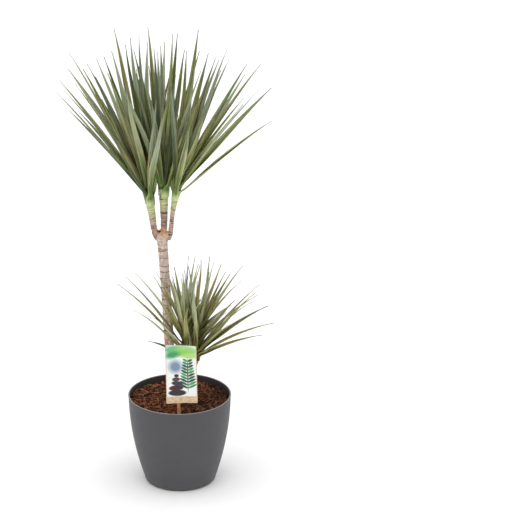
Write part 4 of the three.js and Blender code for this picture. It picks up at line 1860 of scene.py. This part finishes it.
CROWN_BLADE = Blade(14.0, 6.0)
LOW_BLADE = Blade(12.0, 10.0, widest=0.24, taper=1.3, tip=0.15, sheath=9.0, clasp_start=4.0, clasp_end=24.0)
HEADS = (
    Head(
        "crown_left", TALL_LEFT, CROWN_LEAF, Slot.CROWN_LEAF, 10, 3, CROWN_BLADE,
        (
            (-249, 878, -70), (-225, 840, -150), (-242, 904, 100), (-222, 966, 0), (-210, 897, -130),
            (-193, 929, 170), (-184, 939, -70), (-142, 919, -140), (-127, 1014, 60), (-104, 980, -90),
            (-94, 995, 130), (-76, 999, -40), (-104, 885, -190), (-42, 862, -225), (-59, 985, 140),
            (-8, 897, -193), (-13, 920, 154), (-31, 818, -211),
        ),
        Fill(18, (-20, 3), (20, 45), 303), 21, ((-39, -14, 790), (-43, 36, 780), (-52, -24, 835)),
    ),
    Head(
        "crown_middle", TALL_MIDDLE, CROWN_LEAF, Slot.CROWN_LEAF, 10, 3, Blade(14.0, 5.0),
        (
            (-58, 1018, 20), (-46, 971, -90), (-24, 986, 170), (-7, 1003, -60), (3, 1003, 90),
            (7, 906, -180), (51, 924, -130), (62, 893, -170), (48, 965, 130), (-115, 896, -163),
            (-78, 933, 178),
        ),
        Fill(23, (-4, 0), (14, 43), 285), 22,
        ((-47, -6, 800), (-11, -10, 790), (-30, -18, 850), (-14, 44, 800), (-46, 44, 790)),
    ),
    Head(
        "crown_right", TALL_RIGHT, CROWN_LEAF, Slot.CROWN_LEAF, 10, 3, Blade(13.5, 6.0),
        (
            (46, 1011, 40), (81, 949, -60), (88, 946, 110), (105, 968, 0), (92, 924, -130), (146, 936, 70),
            (142, 914, 180), (175, 936, -30), (171, 880, -120), (197, 884, 40), (144, 856, -170),
            (196, 811, -90), (-13, 905, -193), (-10, 925, 168), (27, 805, -206),
        ),
        Fill(20, (18, -2), (21, 41), 285), 23, ((-18, -14, 800), (-15, 36, 790), (3, -22, 835)),
    ),
    Head(
        "low_left", SHORT_LEFT, LOW_LEAF, Slot.LOW_LEAF, 8, 2, LOW_BLADE,
        (
            (-130, 451, -100), (-113, 468, -60), (-93, 478, -130), (-53, 469, -160), (-48, 477, -100),
            (-9, 490, -90), (6, 463, -130), (-14, 459, -150), (10, 453, 130), (22, 514, -30), (36, 514, 60),
            (-97, 391, -120), (-53, 373, -150), (-67, 319, -50), (20, 400, -190), (20, 468, -70),
            (38, 478, 69),
        ),
        Fill(13, (5, 12), (25, 49), 180), 24, ((34, -6, 356), (27, 12, 382), (20, -20, 366)),
    ),
    Head(
        "low_right", SHORT_RIGHT, LOW_LEAF, Slot.LOW_LEAF, 8, 2, LOW_BLADE,
        (
            (48, 505, -40), (67, 512, 50), (76, 502, -90), (91, 495, 90), (101, 478, -60), (137, 490, -10),
            (134, 456, -130), (122, 414, -170), (171, 446, 30), (163, 428, 110), (168, 423, -60),
            (156, 407, -120), (190, 398, -40), (202, 358, -90), (179, 331, -30), (121, 361, -150),
            (30, 442, -170), (33, 412, -185), (-1, 442, -82), (20, 432, 74),
        ),
        Fill(13, (18, 7), (30, 50), 177), 25, ((21, -16, 350), (29, 6, 374), (34, -24, 362)),
    ),
)


# ---------------------------------------------------------------- label


def generic_print() -> tuple[Motif, ...]:
    """Lays out the print: a wash of greens, a pale disc, a fern frond and a stack of flat pebbles.

    Returns:
        The motifs in the order in which they are laid over each other.
    """
    wash = [
        Motif(18, 104, 50, 18, "6fc48a", 4, 0.8), Motif(46, 103, 46, 19, "a6dc86", -6, 0.8),
        Motif(32, 96, 44, 15, "8bd457", 0, 0.9), Motif(13, 92, 30, 15, "3fa56b", 12, 0.8),
        Motif(50, 91, 30, 12, "b9e27c", 0, 0.9),
    ]
    disc = [Motif(19, 66, 31, 31, "b3c4d2", 0, 0.5), Motif(19, 66, 19, 19, "7d97ad", 0, 0.4)]
    stalk_x, stalk_foot, stalk_top, leaflet_lean = 45.0, 10.0, 84.0, 62
    stalk = Motif(stalk_x, (stalk_foot + stalk_top) / 2, 2.4, stalk_top - stalk_foot, "2b4a30", 0, 0.4)
    greens = ("1f5236", "3e9463", "2a6e48", "4fa35c", "245c3c")
    frond = []
    for step, level in enumerate(np.linspace(stalk_foot + 8, stalk_top - 6, 10)):
        half = 10.5 - 0.55 * step
        for lean in (-leaflet_lean, leaflet_lean):
            x = stalk_x + half * math.sin(math.radians(lean))
            y = float(level) + half * math.cos(math.radians(lean))
            green = greens[(step * 2 + (lean > 0)) % len(greens)]
            frond.append(Motif(x, y, 5.2, 2 * half, green, -lean, 0.3))
    pebbles = [
        Motif(22, 8, 38, 14, "23262d", 0, 0.2), Motif(20, 19, 31, 12, "4b1c24", 4, 0.2),
        Motif(22, 29, 24, 10, "2f3844", -5, 0.2), Motif(20, 38, 17, 9, "5a3a34", 3, 0.25),
        Motif(21, 46, 10, 7, "262a33", 0, 0.25),
    ]
    return (*wash, *disc, stalk, *frond, *pebbles)


CARD = PrintedCard(
    name="printed_card", roughness=(0.25, 0.4), relief=0.00002, specular=0.5,
    ground="fafbf8", back="e9e7df", motifs=generic_print(),
)


@dataclass
class PlantLabel:
    """The plant label: a printed card on a kraft board with a stake behind."""

    left: float = -28.0
    right: float = 38.0
    foot: float = 212.0
    print_foot: float = 227.5
    top: float = 341.0
    front: float = -85.0
    corner: float = 1.6
    bow: float = 3.0
    twist: float = 13.0
    roll: float = -0.8
    lean: float = 4.0
    board_thickness: float = 1.2
    card_thickness: float = 0.6
    card_inset: float = 1.5
    gap: float = 0.3
    stake_width: float = 7.0
    stake_thickness: float = 2.5
    stake_ease: float = 0.5
    stake_x: float = -2.3
    stake_foot: float = 118.0
    stake_point: float = 14.0
    stake_point_share: float = 0.25
    stake_top: float = 285.0
    stake_setback: float = 1.0
    columns: int = 44
    rows: int = 60

    def leaned(self, points: np.ndarray) -> np.ndarray:
        """Rolls and leans points about the foot of the board.

        Args:
            points: Points of the upright label.

        Returns:
            The points as the label stands.
        """
        pivot = np.array([(self.left + self.right) / 2, self.front, self.foot])
        turn = tilted(0, math.radians(self.roll), 0) @ tilted(math.radians(-self.lean), 0, 0)
        return (points - pivot) @ turn + pivot

    def near_side(self, left: float, right: float, foot: float, top: float, front: float) -> np.ndarray:
        """Lays out the bowed and twisted front of a sheet with rounded corners.

        Args:
            left: Its left side.
            right: Its right side.
            foot: Its lower edge.
            top: Its upper edge.
            front: Its depth before it is bowed.

        Returns:
            Its points, row by row from the foot up.
        """
        middle, centre, reach = (left + right) / 2, (foot + top) / 2, (self.right - self.left) / 2
        x, z = np.meshgrid(np.linspace(left, right, self.columns + 1), np.linspace(foot, top, self.rows + 1))
        inset_x = np.clip(np.abs(x - middle) - ((right - left) / 2 - self.corner), 0, None)
        inset_z = np.clip(np.abs(z - centre) - ((top - foot) / 2 - self.corner), 0, None)
        over = np.maximum(np.hypot(inset_x, inset_z) / self.corner, 1)
        x = x - np.sign(x - middle) * inset_x * (1 - 1 / over)
        z = z - np.sign(z - centre) * inset_z * (1 - 1 / over)
        aside, rise = (x - middle) / reach, (z - self.foot) / (self.top - self.foot)
        bend = -self.bow * aside ** 2 - (self.twist / 2) * aside * rise
        return np.stack([x, front + bend, z], axis=-1).reshape(-1, 3)

    def sheet(self, left: float, right: float, foot: float, top: float, front: float, thick: float) -> Skin:
        """Makes a sheet of even thickness.

        Args:
            left: Its left side.
            right: Its right side.
            foot: Its lower edge.
            top: Its upper edge.
            front: The depth of its front before it is bowed.
            thick: Its thickness.

        Returns:
            The closed sheet, with its print places painted on it.
        """
        near = self.near_side(left, right, foot, top, front)
        wide, count = self.columns + 1, len(near)
        faces: Faces = []
        for row, column in product(range(self.rows), range(self.columns)):
            a = row * wide + column
            faces.append((a, a + 1, a + wide + 1, a + wide))
            faces.append((a + count, a + wide + count, a + wide + 1 + count, a + 1 + count))
        right_side = [row * wide + self.columns for row in range(1, self.rows + 1)]
        top_side = [self.rows * wide + column for column in range(self.columns - 1, -1, -1)]
        left_side = [row * wide for row in range(self.rows - 1, 0, -1)]
        rim = [*range(wide), *right_side, *top_side, *left_side]
        for a, b in zip(rim, [*rim[1:], rim[0]]):
            faces.append((a, a + count, b + count, b))
        points = np.vstack([near, near + [0, thick, 0]])
        skin = Skin()
        skin.add(
            self.leaned(points), faces,
            print_x=points[:, 0] - left, print_y=points[:, 2] - foot,
            front=np.repeat([1.0, 0.0], count),
        )
        return skin

    def stake(self) -> Skin:
        """Makes the stake: a flat strip of wood with eased edges and a point at its foot.

        Returns:
            The closed strip.
        """
        half, deep, ease = self.stake_width / 2, self.stake_thickness / 2, self.stake_ease
        quarter = ((half - ease, -deep), (half, -deep + ease))
        outline = np.array([
            (-half + ease, -deep), *quarter, *((x, -y) for x, y in reversed(quarter)),
            (-half + ease, deep), (-half, deep - ease), (-half, -deep + ease),
        ])
        middle_y = self.front + self.board_thickness + self.stake_setback + deep
        shoulder = self.stake_foot + self.stake_point
        rings = []
        for height in (self.stake_foot, shoulder, *np.linspace(shoulder + 6, self.stake_top, 24)):
            narrow = self.stake_point_share if height == self.stake_foot else 1.0
            wave = 0.15 * math.sin(height * 0.11)
            rings.append(np.column_stack([
                self.stake_x + outline[:, 0] * narrow + wave,
                middle_y + outline[:, 1] * narrow,
                np.full(len(outline), height),
            ]))
        skin = Skin()
        skin.add_loft(self.leaned(np.array(rings)))
        return skin

    def build(self) -> list[bpy.types.Object]:
        """Makes the board, the card on it and the stake.

        Returns:
            The three pieces.
        """
        board = self.sheet(self.left, self.right, self.foot, self.top, self.front, self.board_thickness)
        card = self.sheet(
            self.left + self.card_inset, self.right - self.card_inset, self.print_foot, self.top,
            self.front - self.gap - self.card_thickness, self.card_thickness,
        )
        parts = (
            (board, "label_kraft_board", KRAFT, Slot.BOARD, "label_back"),
            (card, "label_printed_card", CARD, Slot.CARD, "label_card"),
            (self.stake(), "label_stake_wood", STAKE_WOOD, Slot.STAKE, "label_stake"),
        )
        return [
            placed(skin.made(name, finish.material(), smooth=False), slot, node)
            for skin, name, finish, slot, node in parts
        ]


# ---------------------------------------------------------------- studio


@dataclass(frozen=True)
class SoftLight:
    """A far, broad light: the way to it, its breadth in degrees and its strength."""

    name: str
    towards: tuple[float, float, float]
    breadth: float
    strength: float


SOFTBOXES = (
    SoftLight("left_softbox", (-0.8, -0.4, 1.5), 75.0, 0.85),
    SoftLight("right_softbox", (0.8, -0.35, 1.5), 75.0, 0.85),
    SoftLight("top_softbox", (0.0, 0.1, 1.0), 70.0, 1.1),
)


@dataclass
class Studio:
    """The pale floor, the soft lights and the camera, in metres and degrees."""

    floor_size: float = 16.0
    floor_colour: tuple[float, ...] = (0.97, 0.97, 0.97, 1.0)
    camera_place: tuple[float, float, float] = (0.0, -5.91944, 2.78518)
    camera_yaw: float = 1.587
    camera_pitch: float = -21.006
    camera_reach: float = 100.0
    focal_pixels: float = 3005.09
    picture_pixels: float = 512.0
    sensor: float = 36.0
    sky: float = 0.42

    def lay_floor(self) -> None:
        """Lays the floor with a plain pale finish."""
        half = self.floor_size / 2
        mesh = bpy.data.meshes.new("studio_floor")
        corners = [(-half, -half, 0), (half, -half, 0), (half, half, 0), (-half, half, 0)]
        mesh.from_pydata(corners, [], [(0, 1, 2, 3)])
        material = bpy.data.materials.new("studio_floor")
        material.use_nodes = True
        Wiring(material.node_tree).feed(
            material.node_tree.nodes["Principled BSDF"],
            Base_Color=self.floor_colour, Roughness=0.9, Specular_IOR_Level=0.1,
        )
        mesh.materials.append(material)
        linked("studio_floor", mesh)

    def hang(self, light: SoftLight) -> None:
        """Hangs a soft light.

        Args:
            light: The light.
        """
        lamp = bpy.data.lights.new(light.name, "SUN")
        lamp.angle = math.radians(light.breadth)
        lamp.energy = light.strength
        linked(light.name, lamp).rotation_euler = (-Vector(light.towards)).to_track_quat("-Z", "Y").to_euler()

    def set_camera(self) -> None:
        """Sets the camera at the photograph's viewing angle."""
        lens = bpy.data.cameras.new("camera")
        lens.sensor_width = self.sensor
        lens.lens = self.focal_pixels * self.sensor / self.picture_pixels
        lens.clip_end = self.camera_reach
        holder = linked("camera", lens)
        holder.location = self.camera_place
        holder.rotation_euler = (math.radians(90 + self.camera_pitch), 0, math.radians(-self.camera_yaw))
        bpy.context.scene.camera = holder

    def light_sky(self) -> None:
        """Lights everything evenly with a white sky, shown without a film look."""
        world = bpy.data.worlds.new("studio")
        world.use_nodes = True
        sky = world.node_tree.nodes["Background"]
        Wiring(world.node_tree).feed(sky, Color=(1.0, 1.0, 1.0, 1.0), Strength=self.sky)
        bpy.context.scene.world = world
        bpy.context.scene.view_settings.view_transform = "Standard"

    def build(self) -> None:
        """Sets the whole studio up."""
        self.lay_floor()
        for light in SOFTBOXES:
            self.hang(light)
        self.light_sky()
        self.set_camera()


# ---------------------------------------------------------------- the plant


def main() -> None:
    """Loads the frame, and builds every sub-assembly around it and the studio."""
    logging.basicConfig(level=logging.INFO, format="%(name)s %(message)s")
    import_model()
    planter = Planter()
    for assembly in (planter, SoilBed(planter), *CANES, PlantLabel(), *HEADS):
        assembly.build()
    Studio().build()


if __name__ == "__main__":
    main()
